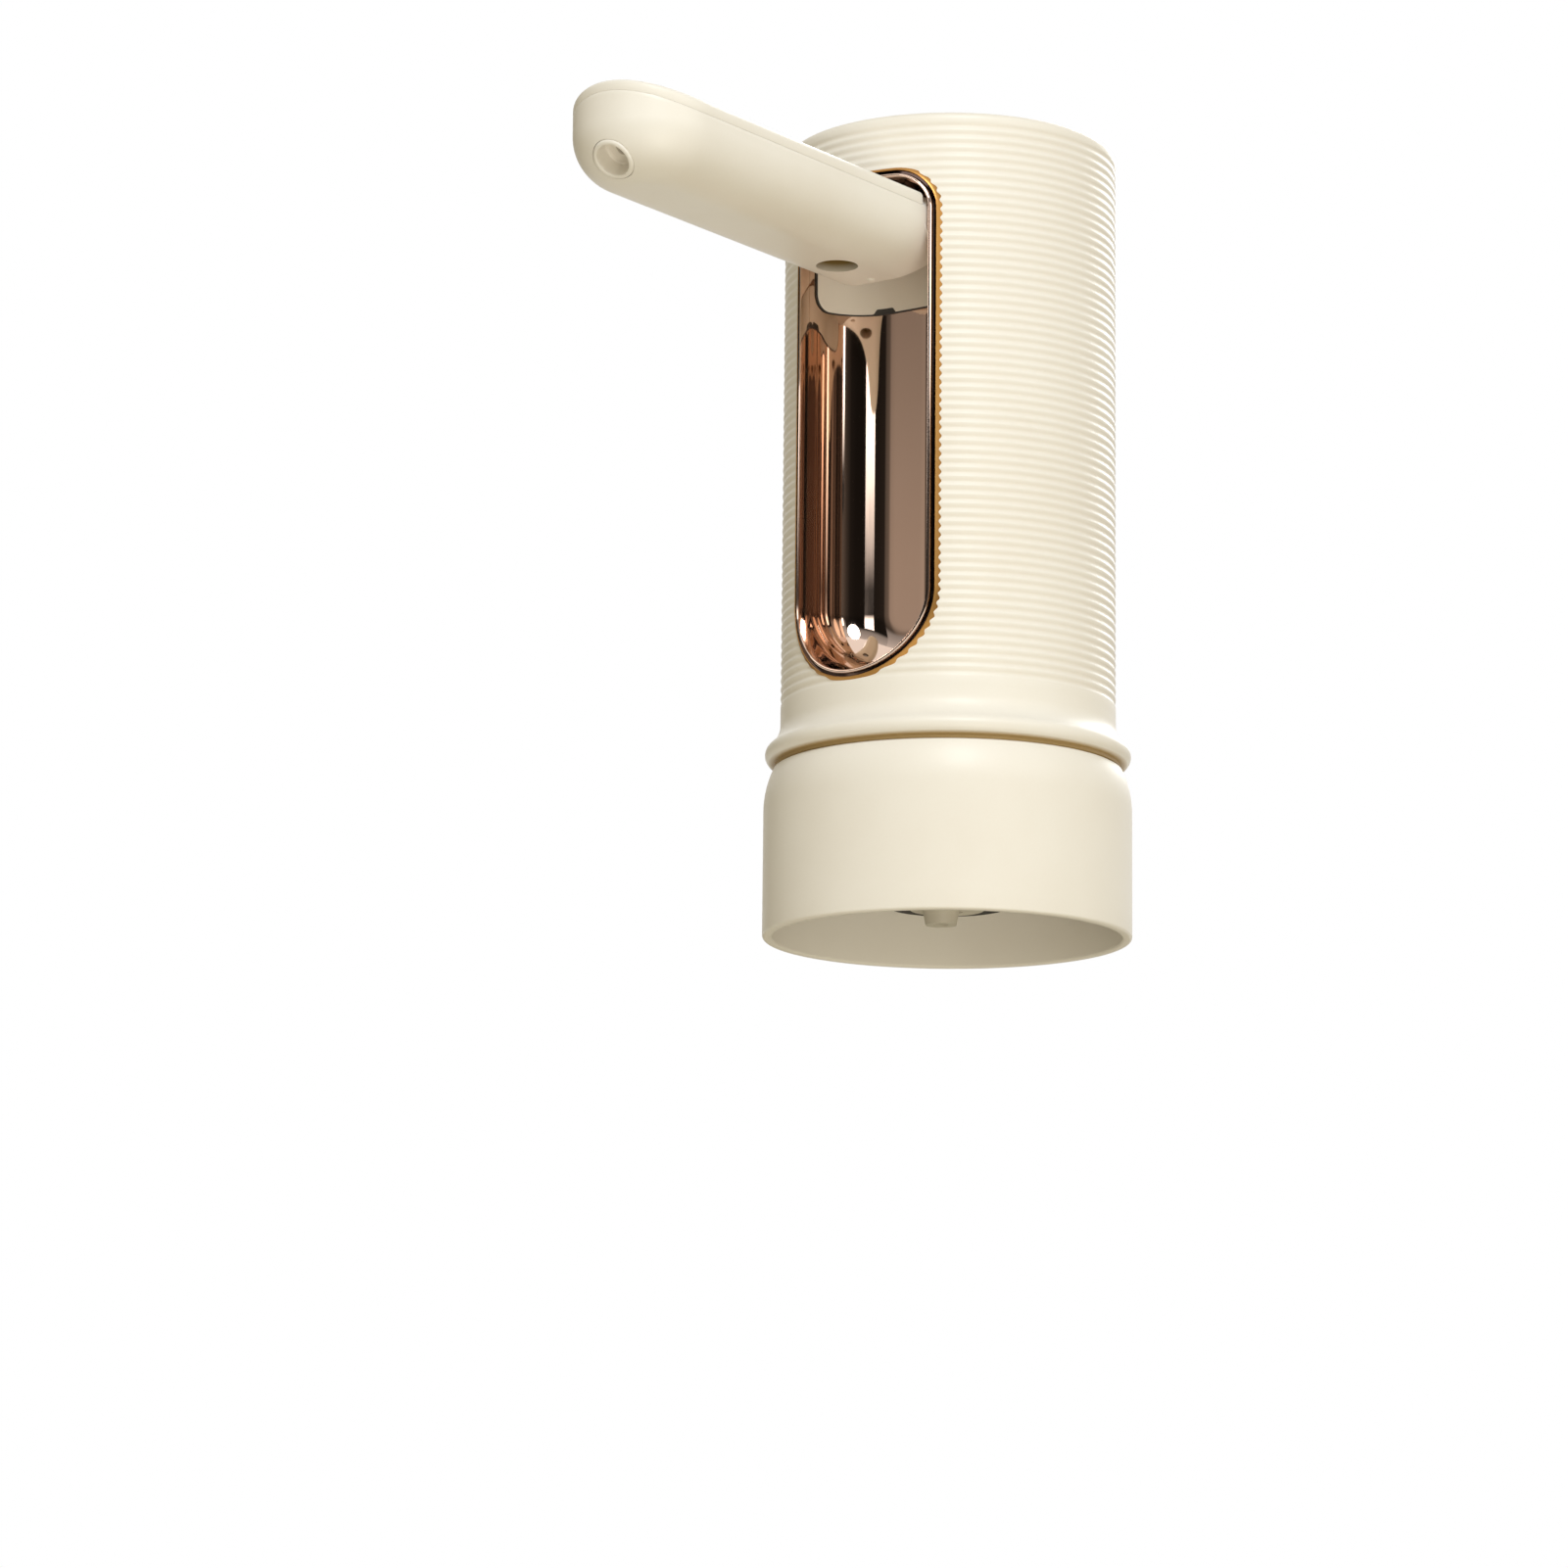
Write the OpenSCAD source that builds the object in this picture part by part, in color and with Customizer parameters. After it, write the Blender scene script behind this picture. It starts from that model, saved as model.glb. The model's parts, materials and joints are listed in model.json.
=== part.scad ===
// Electric wine aerator: a ribbed pump housing on a soft stopper,
// with a pouring spout that folds down flush into a polished bay.
// Millimetres, Z up. The gasket's seat is at z = 0 and the spout points along -Y.

/* [Body] */
// Outer diameter of the ribbed body
body_d = 50; // [49:0.5:56]
// Height from the skirt's rim to the top
total_h = 120; // [118:1:135]
// Wall of the ribbed shell
shell_wall = 1.6; // [1.4:0.1:2]
// Radius on the top edge
top_round = 1; // [0.5:0.1:1.4]

/* [Ribs] */
// Distance from one groove to the next
rib_pitch = 1.35; // [1.2:0.05:1.8]
// Depth of a groove
groove_depth = 0.35; // [0.2:0.05:0.5]
// Width of a groove at the surface
groove_w = 0.9; // [0.5:0.05:1]
// Distance from the top down to the first groove
rib_start = 2.2; // [1.8:0.1:4]
// Height above the gasket's seat where the grooves end
rib_end = 14; // [13:0.5:18]

/* [Skirt] */
// How far the skirt stands out from the ribbed body
skirt_proud = 2.4; // [2:0.1:4]
// Wall of the skirt
skirt_wall = 1.5; // [1.2:0.1:2]
// Depth of the rim below the gasket's seat
seat_depth = 21; // [20:0.5:24]
// Height of the seam between skirt and shell above the gasket's seat
seam_z = 4.4; // [4:0.1:6]
// Height of the skirt's curved shoulder
shoulder_h = 6.4; // [4:0.2:9]
// Thickness of the web that closes the skirt
web_t = 2; // [1.6:0.1:2.6]
// How far the neck at the seam stands out from the ribbed body
neck_proud = 0.75; // [0.3:0.05:1]
// Radius of the bead above the seam
bead_r = 1.5; // [1.2:0.1:1.8]
// Height of the neck's straight wall under the bead
neck_h = 0.6; // [0.4:0.1:1]
// Radius of the flare from the bead up into the ribbed wall
flare_r = 4; // [3:0.1:5]

/* [Stopper] */
// Diameter of the sealing lips
stopper_d = 18.8; // [17.5:0.1:20]
// Length of the stopper below the gasket's seat
stopper_h = 16; // [13:0.5:17]
// How far the lips stand out from the stopper's body
lip_step = 0.8; // [0.4:0.1:1.2]
// Length of the land on each lip
lip_land = 2; // [1.4:0.1:2.4]
// Number of sealing lips
lip_count = 3; // [2:1:3]
// Diameter of the rigid core in the stopper
core_d = 11; // [10.6:0.1:12]
// Length of the tube nipple below the stopper
nipple_h = 3; // [2:0.5:3.5]
// Diameter of the core's flange
flange_d = 32; // [30:0.5:34]
// Thickness of the gasket round the top of the stopper
gasket_t = 1.2; // [0.8:0.1:1.5]

/* [Window] */
// Distance from the top down to the window frame
window_drop = 8.6; // [8:0.1:12]
// Distance from the deck up to the window's lower end
window_rise = 7.1; // [6:0.1:14]
// Width of the window frame's rim
bezel_rim = 1.2; // [1:0.1:1.6]
// Radius on the frame's upper corners, inside
corner_r = 4.8; // [3.5:0.1:5.5]
// How far the frame's inner lip stands out of the body
bezel_proud = 0.45; // [0.3:0.05:0.8]
// Wall of the bay behind the window
bay_wall = 1.2; // [1:0.1:1.4]

/* [Spout] */
// Width of the spout
spout_w = 21.5; // [20:0.1:22.5]
// Height of the spout from its underside to its crown, as a share of the body's diameter
spout_share = 0.268; // [0.25:0.002:0.28]
// Radius on the spout's lower edges and nose
nose_r = 7.75; // [6.5:0.05:8.2]
// Wall of the spout's lower half
spout_wall = 1.6; // [1.3:0.1:1.9]
// Thickness of the spout's cover
cover_t = 1.6; // [1.3:0.1:1.9]
// Distance of the hinge axis in from the body's surface
pivot_inset = 5.8; // [5.4:0.1:6.2]
// Outer diameter of the pour nozzle
nozzle_d = 6.4; // [5.8:0.1:7]
// Bore of the pour nozzle
nozzle_bore = 5; // [4:0.1:5.2]
// Angle of the nozzle below level
nozzle_angle = 46; // [40:1:55]
// Outer diameter of the pour tube
pour_tube_d = 3.6; // [3:0.1:3.8]
// Distance of the cover screw out from the ribbed body
screw_out = 4.4; // [4:0.2:11]
// Diameter of the counterbore for the cover screw
counterbore_d = 6.2; // [5.4:0.1:6.4]

/* [Hinge] */
// Diameter of the hollow hinge axle
axle_d = 4.4; // [4:0.1:4.8]
// Diameter of the stem that feeds the axle
stem_d = 3.6; // [3:0.1:4]
// Angle of the stem above level
stem_angle = 20; // [16:1:22]
// Thickness of the seat on the bay's back below the hinge
seat_t = 0.35; // [0.3:0.05:0.4]
// Height of the seat
seat_h = 4.2; // [3:0.1:6]

/* [Screws] */
// Radius of a housing screw's shank
screw_r = 1.1; // [1:0.05:1.2]
// Radius of a housing screw's head
head_r = 2.2; // [1.9:0.05:2.3]
// Height of a housing screw's head
head_h = 1.5; // [1.2:0.1:1.6]
// Radius of a bay screw's shank
bay_screw_r = 0.85; // [0.7:0.05:0.9]
// Radius of a bay screw's head
bay_head_r = 1.7; // [1.4:0.1:1.8]
// Height of a bay screw's head
bay_head_h = 1; // [0.8:0.1:1.2]

/* [Top] */
// Diameter of the power button
button_d = 16.4; // [14:0.2:18]
// Travel of the power button
button_travel = 0.8; // [0.5:0.1:0.8]
// Width of the light ring round the button
ring_w = 1.6; // [1.2:0.1:2.2]
// Thickness of the top cap
cap_t = 1.7; // [1.4:0.1:2]
// Depth of the cap below the shell's top edge
cap_inset = 0.4; // [0.2:0.1:0.8]

/* [Inside] */
// Diameter of the battery cell, as a share of the body's diameter
cell_share = 0.284; // [0.24:0.004:0.29]
// Length of the battery cell
cell_h = 50; // [40:1:52]
// Diameter of the motor, as a share of the body's diameter
motor_share = 0.328; // [0.28:0.004:0.34]
// Length of the motor
motor_h = 25; // [20:0.5:26]
// Diameter of the pump, as a share of the body's diameter
pump_share = 0.344; // [0.32:0.004:0.352]
// Length of the pump's body
pump_h = 11; // [10:0.5:13]
// Outer diameter of the wine hose
wine_hose_d = 4.6; // [4.4:0.1:5]
// Outer diameter of the air hose
air_hose_d = 3; // [2.6:0.1:3.2]
// Thickness of the base deck
deck_t = 4; // [3:0.5:5]
// Wall of the chassis
chassis_t = 1.6; // [1.2:0.1:2]
// Thickness of the circuit board
board_t = 1.2; // [1:0.1:1.6]

/* [Fits] */
// Gap round the folded spout
spout_gap = 0.7; // [0.6:0.05:0.9]
// Gap between the spout's crown and the window frame
head_gap = 0.4; // [0.3:0.05:0.6]
// Running clearance on a radius
run_fit = 0.05; // [0.03:0.01:0.08]
// Clearance between pieces that stay put
seat_fit = 0.05; // [0.03:0.01:0.1]
// Clearance round the button
button_gap = 0.25; // [0.2:0.05:0.35]

/* [Hidden] */
$fn = 96;

// Heights and radii of the housing
far = 400;
body_r = body_d / 2;
inner_r = body_r - shell_wall;
skirt_r = body_r + skirt_proud;
neck_r = body_r + neck_proud;
seam_step = 0.15;
skirt_top_r = neck_r + seam_step;
rim_z = -seat_depth;
top_z = total_h - seat_depth;
groove_count = floor((top_z - rib_start - rib_end) / rib_pitch) + 1;
bead_z = seam_z + neck_h + bead_r;
flare_z = bead_z + sqrt(pow(flare_r + bead_r, 2) - pow(body_r + flare_r - neck_r, 2));
web_z = seam_z - web_t;
deck_z = seam_z + deck_t;

// Window, hinge and spout
half_w = spout_w / 2;
window_half = half_w + spout_gap;
frame_top = top_z - window_drop;
window_top = frame_top - bezel_rim;
crown_z = window_top - head_gap;
pivot_s = body_r - pivot_inset;
pivot_z = crown_z - pivot_inset;
under_z = crown_z - body_d * spout_share;
window_low = deck_z + window_rise + window_half;
tip_s = pivot_s + pivot_z - window_low;
screw_reach = body_r + screw_out;
crown_axis = crown_z - body_r;
bay_back = pivot_s - (pivot_z - under_z) - spout_gap;
bay_face = bay_back - bay_wall;
knuckle_out = 1.2;
knuckle_s = body_r + knuckle_out;
axle_r = axle_d / 2;
axle_wall = 1.5;
cover_s = pivot_s + axle_r + axle_wall;
stem_r = stem_d / 2;
chamber_x = 7.2;
chamber_depth = 1.1;
chamber_r = axle_r + chamber_depth;
chamber_w = 2.4;
slot_gap = 0.35;
barrel_drop = 0.3;
side_step = 0.1;
heel_back = 2.6;
bay_overrun = pivot_s - pivot_inset - bay_wall - 4;
seat_drop = pivot_inset;
seat_wrap = 8;
nozzle_proud = 0.15;
nozzle_h = 4.5;
nozzle_floor = 1;
axle_bore = 1;
port_r = 0.9;
seal_r = 0.45;
stem_bore = 0.7;
pour_bore = 1;
pour_drop = 1;
pour_z = pivot_z - pour_drop;
pour_over = 2;
boss_top = pivot_z;
boss_wall = 0.8;
boss_floor = 1.6;
cover_boss_r = 2.8;
cover_pilot = 4.5;

// Wine and air lines
hose_r = wine_hose_d / 2;
hose_bore = 1.5;
core_r = core_d / 2;
air_bore = 0.8;
wine_bore = 1.1;
nipple_r = 2.9;
barb_h = 6;
core_step = 1;
gasket_inset = 0.5;
valve_plug = 1.6;
valve_step = 0.5;
valve_h = 5.4;
valve_top = deck_z + valve_h;
screw_gap = 0.2;
screw_end_gap = 0.5;
skirt_screw_in = 3.6;
skirt_screw_at = flange_d / 2 + skirt_screw_in;
skirt_screw_turns = [60, 180, 300];
core_screw_at = (core_r + flange_d / 2) / 2 + 1;
core_screw_turns = [0, 120, 240];
bay_boss = 3;
bay_boss_r = 2.2;
bay_screw_x = window_half / 2.3;
bay_screw_shares = [0.07, 0.7];
hose_gap = 1.2;
line_gap = 0.5;
chassis_y = bay_boss - bay_face;
wine_y = chassis_y + chassis_t + hose_gap + hose_r;
air_y = wine_y + hose_r + line_gap + air_hose_d / 2;
tail_y = chassis_y;
tail_z = pivot_z + (pivot_s + tail_y) * tan(stem_angle);
hose_bend = (wine_y - tail_y) / (1 + sin(stem_angle));
hose_foot = deck_z + 1;

// Battery, motor and pump stand round the back of the housing
inside_gap = 1.6;
cell_turn = 42;
motor_turn = 138;
cell_r = body_r * cell_share;
motor_r = body_r * motor_share;
pump_r = body_r * pump_share;
cell_at = (inner_r - inside_gap - cell_r) * [cos(cell_turn), sin(cell_turn)];
motor_at = (inner_r - inside_gap - pump_r) * [cos(motor_turn), sin(motor_turn)];
cell_gap = 0.15;
cell_tip_r = 2.8;
cell_tip_h = 1;
pad_t = 1.2;
motor_z = deck_z + pad_t;
pump_z = motor_z + motor_h;
head_t = 4;
diaphragm_t = 1.2;
diaphragm_z = pump_z + pump_h;
head_z = diaphragm_z + diaphragm_t;
shelf_gap = 0.2;
shelf_z = head_z + head_t + shelf_gap;
outlet_z = head_z + head_t / 2;
outlet_run = norm(motor_at - [0, air_y]);
outlet_turn = atan2(air_y - motor_at[1], -motor_at[0]);
air_bend = outlet_run - pump_r;
shaft_r = 0.75;
crank_r = 3;
crank_offset = 1;
crank_t = 3;
motor_floor = 2;
end_play = 0.3;
pump_floor = 2;
diaphragm_inset = 0.4;

// Top of the housing
cap_z = top_z - cap_inset - cap_t;
button_r = button_d / 2;
ring_in = button_r + button_gap;
ring_out = ring_in + ring_w;
board_rise = 0.8;
board_z = frame_top + bay_wall - bezel_rim + board_rise;
board_top = board_z + board_t;
board_gap = 0.6;
cap_lip_h = 1;
cap_lip_t = 1.8;
ring_lip_t = 0.6;
ring_lip_w = 1;
button_lip = 0.8;
button_lip_w = 1.4;
button_wall = 1.2;
button_top = 1.4;
button_proud = 0.3;
plunger_r = 1.7;
switch_w = 6;
switch_floor = 0.2;
switch_h = 2.6;
switch_top = board_top + switch_h;
free_play = 0.1;
stem_low = switch_top + button_travel + free_play;
usb_w = 8.9;
usb_h = 3.2;
usb_depth = 7.4;
usb_gap = 0.3;
usb_back = 1.2;
tongue_w = 6.4;
tongue_t = 0.7;
usb_inset = 0.6;
usb_y = body_r - groove_depth - usb_depth - usb_inset;

// Outline of the window, drawn in X and Z, with its lower end round
module window_outline(grow) {
    half = window_half + grow;
    corner = corner_r + grow;
    high = window_top + grow;
    translate([0, window_low]) circle(half);
    translate([-half, window_low]) square([2 * half, high - corner - window_low]);
    translate([corner - half, window_low]) square([2 * (half - corner), high - window_low]);
    for (side = [-1, 1])
        translate([side * (half - corner), high - corner]) circle(corner);
}

// The window's outline carried from the axis out through the front
module window_block(grow) {
    rotate([90, 0, 0]) linear_extrude(far / 4) window_outline(grow);
}

// Section of the spout, with its lower edges rounded, from the underside up
module spout_section(grow) {
    half = half_w + grow;
    round_r = nose_r + grow;
    low = under_z - grow;
    for (side = [-1, 1])
        translate([side * (half - round_r), low + round_r]) circle(round_r);
    translate([round_r - half, low]) square([2 * (half - round_r), round_r]);
    translate([-half, low + round_r]) square([2 * half, far / 8]);
}

// The spout's outer form, level, with a tip that is the section turned about its own end
module spout_form(grow, root_s) {
    translate([0, -root_s, 0]) rotate([90, 0, 0]) linear_extrude(tip_s - root_s) spout_section(grow);
    translate([0, -tip_s, 0]) rotate_extrude()
        intersection() {
            spout_section(grow);
            translate([0, -far]) square([far, 2 * far]);
        }
}

// Space under a crown of the body's own curve
module under_crown(inset) {
    translate([0, 1, crown_axis]) rotate([90, 0, 0]) cylinder(r = body_r - inset, h = far / 2);
}

// What the folded spout takes up, turned down about the hinge
module folded(grow, root_s) {
    translate([0, -pivot_s, pivot_z]) rotate([90, 0, 0]) translate([0, pivot_s, -pivot_z])
        spout_form(grow, root_s);
}

// Barrel over the hinge, crowned so that it clears the frame's corners as it swings
module root_barrel() {
    crown = [for (i = [-3 : 3]) let (x = (half_w - side_step) * i / 3)
        [pivot_inset - barrel_drop - body_r + sqrt(body_r * body_r - x * x), x]];
    translate([0, -pivot_s, pivot_z]) rotate([0, 90, 0]) rotate_extrude()
        polygon(concat([[0, side_step - half_w]], crown, [[0, half_w - side_step]]));
}

// Side view of the spout, with a sloping heel behind the hinge and room above it for the barrel
module side_profile() {
    low = pivot_z - under_z + 1;
    translate([-far / 2, -pivot_s, pivot_z]) rotate([90, 0, 90]) linear_extrude(far) polygon([
        [-far, far], [0, far], [0, 0], [heel_back, 0], [heel_back, heel_back + 1 - low],
        [-1, -low], [-far, -low]]);
}

module screw(length, shank_radius = screw_r, head_radius = head_r, head_height = head_h) {
    cylinder(r = shank_radius, h = length);
    translate([0, 0, -head_height]) cylinder(r = head_radius, h = head_height);
}

module ribbed_shell() {
    first = top_z - rib_start;
    groove = [[0, -groove_w / 2], [-groove_depth, 0], [0, groove_w / 2]];
    steps = 8;
    color("#efe6d0") difference() {
        union() {
            rotate_extrude() polygon(concat(
                [[0, seam_z], [neck_r, seam_z], [neck_r, bead_z]],
                [for (i = [0 : steps]) let (a0 = 180 + atan2(flare_z - bead_z, body_r + flare_r - neck_r),
                    a = a0 + (180 - a0) * i / steps)
                    [body_r + flare_r * (1 + cos(a)), flare_z + flare_r * sin(a)]],
                [for (i = [groove_count - 1 : -1 : 0], p = groove)
                    [body_r + p[0], first - i * rib_pitch + p[1]]],
                [for (i = [0 : steps]) let (a = 90 * i / steps)
                    [body_r - top_round * (1 - cos(a)), top_z - top_round * (1 - sin(a))]],
                [[0, top_z]]));
            rotate_extrude() translate([neck_r, bead_z]) circle(bead_r);
        }
        translate([0, 0, seam_z - 1]) cylinder(r = inner_r, h = total_h);
        window_block(bezel_rim + seat_fit);
        usb_hollow(usb_w + 2 * usb_gap, usb_h + 2 * usb_gap);
    }
}

module skirt_outline(inset) {
    rise = skirt_r - skirt_top_r;
    shoulder_r = (rise * rise + shoulder_h * shoulder_h) / (2 * rise);
    shoulder_z = seam_z - shoulder_h;
    translate([0, rim_z]) square([skirt_r - inset, shoulder_z - rim_z]);
    intersection() {
        translate([0, shoulder_z]) square([skirt_r - inset, shoulder_h]);
        translate([skirt_r - shoulder_r, shoulder_z]) circle(shoulder_r - inset);
    }
}

module skirt() {
    color("#efe6d0") difference() {
        rotate_extrude() skirt_outline(0);
        rotate_extrude() intersection() {
            skirt_outline(skirt_wall);
            translate([0, rim_z - 1]) square([skirt_r, web_z - rim_z + 1]);
        }
        translate([0, 0, rim_z - 1]) cylinder(r = skirt_r - skirt_wall, h = 2);
        cylinder(r = flange_d / 2 + seat_fit, h = far, center = true);
        for (turn = skirt_screw_turns)
            rotate(turn) translate([skirt_screw_at, 0, web_z - 1])
                cylinder(r = screw_r + screw_gap, h = web_t + 2);
    }
}

module window_bezel() {
    step = bezel_rim / 2;
    color("#d9a27c") difference() {
        union() {
            intersection() {
                window_block(bezel_rim);
                cylinder(r = body_r + bezel_proud / 3, h = top_z);
            }
            intersection() {
                window_block(bezel_rim - step);
                cylinder(r = body_r + bezel_proud, h = top_z);
            }
        }
        window_block(0);
        translate([0, 0, -1]) cylinder(r = inner_r, h = far);
    }
}

module spout_bay() {
    color("#cf9670") difference() {
        intersection() {
            window_block(bay_wall);
            folded(spout_gap + bay_wall, bay_overrun);
            cylinder(r = inner_r - seat_fit, h = top_z);
        }
        intersection() {
            window_block(0);
            folded(spout_gap, bay_overrun);
        }
        hinge_line(axle_r);
        stem_line(stem_r);
    }
    color("#cf9670") difference() {
        bay_screw_places() cylinder(r = bay_boss_r, h = bay_boss + bay_wall / 4);
        bay_screw_places() translate([0, 0, -1]) cylinder(r = bay_screw_r + seat_fit, h = bay_boss + 1);
    }
}

// A thin cream lining on the bay's back, where the spout's heel comes down behind the hinge
module hinge_seat() {
    color("#efe6d0") difference() {
        intersection() {
            folded(spout_gap - seat_fit, bay_overrun);
            translate([-far / 2, -bay_back - seat_wrap, pivot_z - seat_drop - seat_h])
                cube([far, far, seat_h]);
        }
        folded(spout_gap - seat_t, bay_overrun);
    }
}

// The hinge axis, through both sides of the bay
module hinge_line(r) {
    translate([0, -pivot_s, pivot_z]) rotate([0, 90, 0]) cylinder(r = r, h = 4 * half_w, center = true);
}

// The feed stem's line, from the hinge axis back and up, as the spout sees it when it has turned
module stem_line(r, start = 0, length = far / 10, turn = 0) {
    translate([0, -pivot_s, pivot_z]) rotate([stem_angle - 90 - turn, 0, 0]) translate([0, 0, start])
        cylinder(r = r, h = length);
}

module bay_screw_places() {
    straight = window_top - corner_r - window_low;
    for (share = bay_screw_shares, side = [-1, 1])
        translate([side * bay_screw_x, chassis_y, window_low + share * straight])
            rotate([90, 0, 0]) children();
}

module bay_screws() {
    color("silver") bay_screw_places() translate([0, 0, -chassis_t])
        screw(chassis_t + bay_boss - 0.4, bay_screw_r, bay_head_r, bay_head_h);
}

module top_cap() {
    color("#efe6d0") difference() {
        union() {
            translate([0, 0, cap_z]) cylinder(r = inner_r - seat_fit, h = cap_t);
            translate([0, 0, cap_z - cap_lip_h]) cylinder(r = inner_r - seat_fit, h = cap_lip_h);
        }
        translate([0, 0, cap_z - 2 * cap_lip_h]) cylinder(r = inner_r - cap_lip_t, h = 2 * cap_lip_h);
        cylinder(r = ring_out + seat_fit, h = far);
    }
}

module light_ring() {
    color("#fff6e0") difference() {
        union() {
            translate([0, 0, cap_z - ring_lip_t]) cylinder(r = ring_out, h = cap_t + ring_lip_t);
            translate([0, 0, cap_z - ring_lip_t]) cylinder(r = ring_out + ring_lip_w, h = ring_lip_t);
        }
        cylinder(r = ring_in, h = far);
    }
}

module power_button() {
    flange_top = cap_z - ring_lip_t - free_play;
    crown = top_z - cap_inset + button_proud;
    color("#d9a27c") difference() {
        union() {
            translate([0, 0, flange_top - button_lip])
                cylinder(r = button_r, h = crown - flange_top + button_lip);
            translate([0, 0, flange_top - button_lip]) cylinder(r = ring_in + button_lip_w, h = button_lip);
        }
        difference() {
            translate([0, 0, flange_top - 2])
                cylinder(r = button_r - button_wall, h = crown - flange_top + 2 - button_top);
            translate([0, 0, stem_low]) cylinder(r = plunger_r + 0.7, h = far);
        }
    }
}

module switch_plunger() {
    low = board_top + button_travel + switch_floor + free_play;
    color("#303030") translate([0, 0, low]) cylinder(r = plunger_r, h = stem_low - low);
}

module tact_switch() {
    color("#404040") difference() {
        translate([-switch_w / 2, -switch_w / 2, board_top]) cube([switch_w, switch_w, switch_h]);
        translate([0, 0, board_top + switch_floor]) cylinder(r = plunger_r + run_fit, h = switch_h);
    }
}

module control_board() {
    color("#2d6a4f") difference() {
        translate([0, 0, board_z]) cylinder(r = inner_r - board_gap, h = board_t);
        translate([-far / 2, -far - bay_face + board_gap, 0]) cube([far, far, far]);
    }
}

// A charging socket's rounded opening, carried out through the back wall
module usb_hollow(w, h) {
    translate([0, usb_y, board_top + usb_h / 2]) rotate([-90, 0, 0]) linear_extrude(far / 8) {
        square([w - h, h], center = true);
        for (side = [-1, 1]) translate([side * (w - h) / 2, 0]) circle(h / 2);
    }
}

module usb_socket() {
    wall = 0.35;
    color("silver") intersection() {
        difference() {
            usb_hollow(usb_w, usb_h);
            translate([0, usb_back, 0]) usb_hollow(usb_w - 2 * wall, usb_h - 2 * wall);
        }
        translate([-far / 2, usb_y, 0]) cube([far, usb_depth, far]);
    }
    color("#202020") translate([-tongue_w / 2, usb_y + usb_back / 2, board_top + (usb_h - tongue_t) / 2])
        cube([tongue_w, usb_depth - 2, tongue_t]);
}

module chassis() {
    wall_w = 2 * (window_half + bay_wall) + 0.7;
    spine_y = air_y + air_hose_d / 2 + hose_gap;
    color("#dcdcd8") difference() {
        union() {
            translate([-wall_w / 2, chassis_y, deck_z]) cube([wall_w, chassis_t, board_z - deck_z]);
            intersection() {
                translate([0, 0, shelf_z]) cylinder(r = inner_r - 1, h = chassis_t);
                translate([-far / 2, chassis_y, 0]) cube([far, far, far]);
            }
            translate([-chassis_t / 2, spine_y, deck_z])
                cube([chassis_t, inner_r - 2 - spine_y, board_z - deck_z]);
        }
        translate([cell_at[0], cell_at[1], shelf_z - 1]) cylinder(r = cell_r + cell_gap, h = chassis_t + 2);
        translate([0, wine_y, shelf_z - 1]) cylinder(r = hose_r + slot_gap, h = chassis_t + 2);
        stem_line(hose_r + slot_gap);
        bay_screw_places() translate([0, 0, -chassis_t - 1])
            cylinder(r = bay_screw_r + seat_fit, h = chassis_t + 2);
    }
}

module base_deck() {
    color("#dcdcd8") difference() {
        translate([0, 0, seam_z]) cylinder(r = inner_r - seat_fit, h = deck_t);
        translate([0, 0, seam_z - 1]) cylinder(r = core_r + core_step + seat_fit, h = deck_t + 2);
        for (turn = skirt_screw_turns)
            rotate(turn) translate([skirt_screw_at, 0, seam_z - 1]) cylinder(r = screw_r, h = deck_t);
        for (turn = core_screw_turns)
            rotate(turn) translate([core_screw_at, 0, seam_z - 1]) cylinder(r = screw_r, h = deck_t);
    }
}

module skirt_screws() {
    for (turn = skirt_screw_turns)
        color("silver") rotate(turn) translate([skirt_screw_at, 0, web_z]) screw(web_t + deck_t - 1);
}

module core_screws() {
    for (turn = core_screw_turns)
        color("silver") rotate(turn) translate([core_screw_at, 0, gasket_t + head_h])
            screw(seam_z - gasket_t - head_h + deck_t - 1);
}

module stopper_core() {
    color("#e8e0cc") difference() {
        union() {
            translate([0, 0, gasket_t]) cylinder(r = flange_d / 2, h = seam_z - gasket_t);
            translate([0, 0, -stopper_h - 0.5]) cylinder(r = core_r, h = stopper_h + 1 + gasket_t);
            translate([0, 0, seam_z - 0.5]) cylinder(r = core_r + core_step, h = deck_t + 0.5);
            translate([0, wine_y, -stopper_h - nipple_h])
                cylinder(r1 = nipple_r - 0.6, r2 = nipple_r, h = nipple_h);
            translate([0, wine_y, deck_z - 0.5]) cylinder(r = hose_bore - seat_fit, h = barb_h);
        }
        translate([0, wine_y, -stopper_h - nipple_h - 1]) cylinder(r = wine_bore, h = far);
        translate([0, air_y, -stopper_h - 1]) cylinder(r = air_bore, h = far);
        translate([0, air_y, deck_z - valve_plug]) cylinder(r = air_hose_d / 2, h = far);
        for (turn = core_screw_turns)
            rotate(turn) translate([core_screw_at, 0, gasket_t]) {
                translate([0, 0, -1]) cylinder(r = head_r + seat_fit, h = head_h + 1);
                cylinder(r = screw_r + seat_fit, h = far);
            }
    }
}

module bottle_stopper() {
    lip_r = stopper_d / 2;
    spacing = (stopper_h - lip_land) / (lip_count - 1);
    color("#4a4a4a") difference() {
        union() {
            translate([0, 0, -stopper_h]) cylinder(r = lip_r - lip_step, h = stopper_h);
            for (i = [0 : lip_count - 1])
                translate([0, 0, -lip_land - i * spacing]) cylinder(r = lip_r, h = lip_land);
            for (i = [1 : lip_count - 1])
                translate([0, 0, -i * spacing]) cylinder(r1 = lip_r, r2 = lip_r - lip_step, h = lip_land);
        }
        translate([0, 0, -far / 2]) cylinder(r = core_r + seat_fit, h = far);
    }
}

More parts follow.
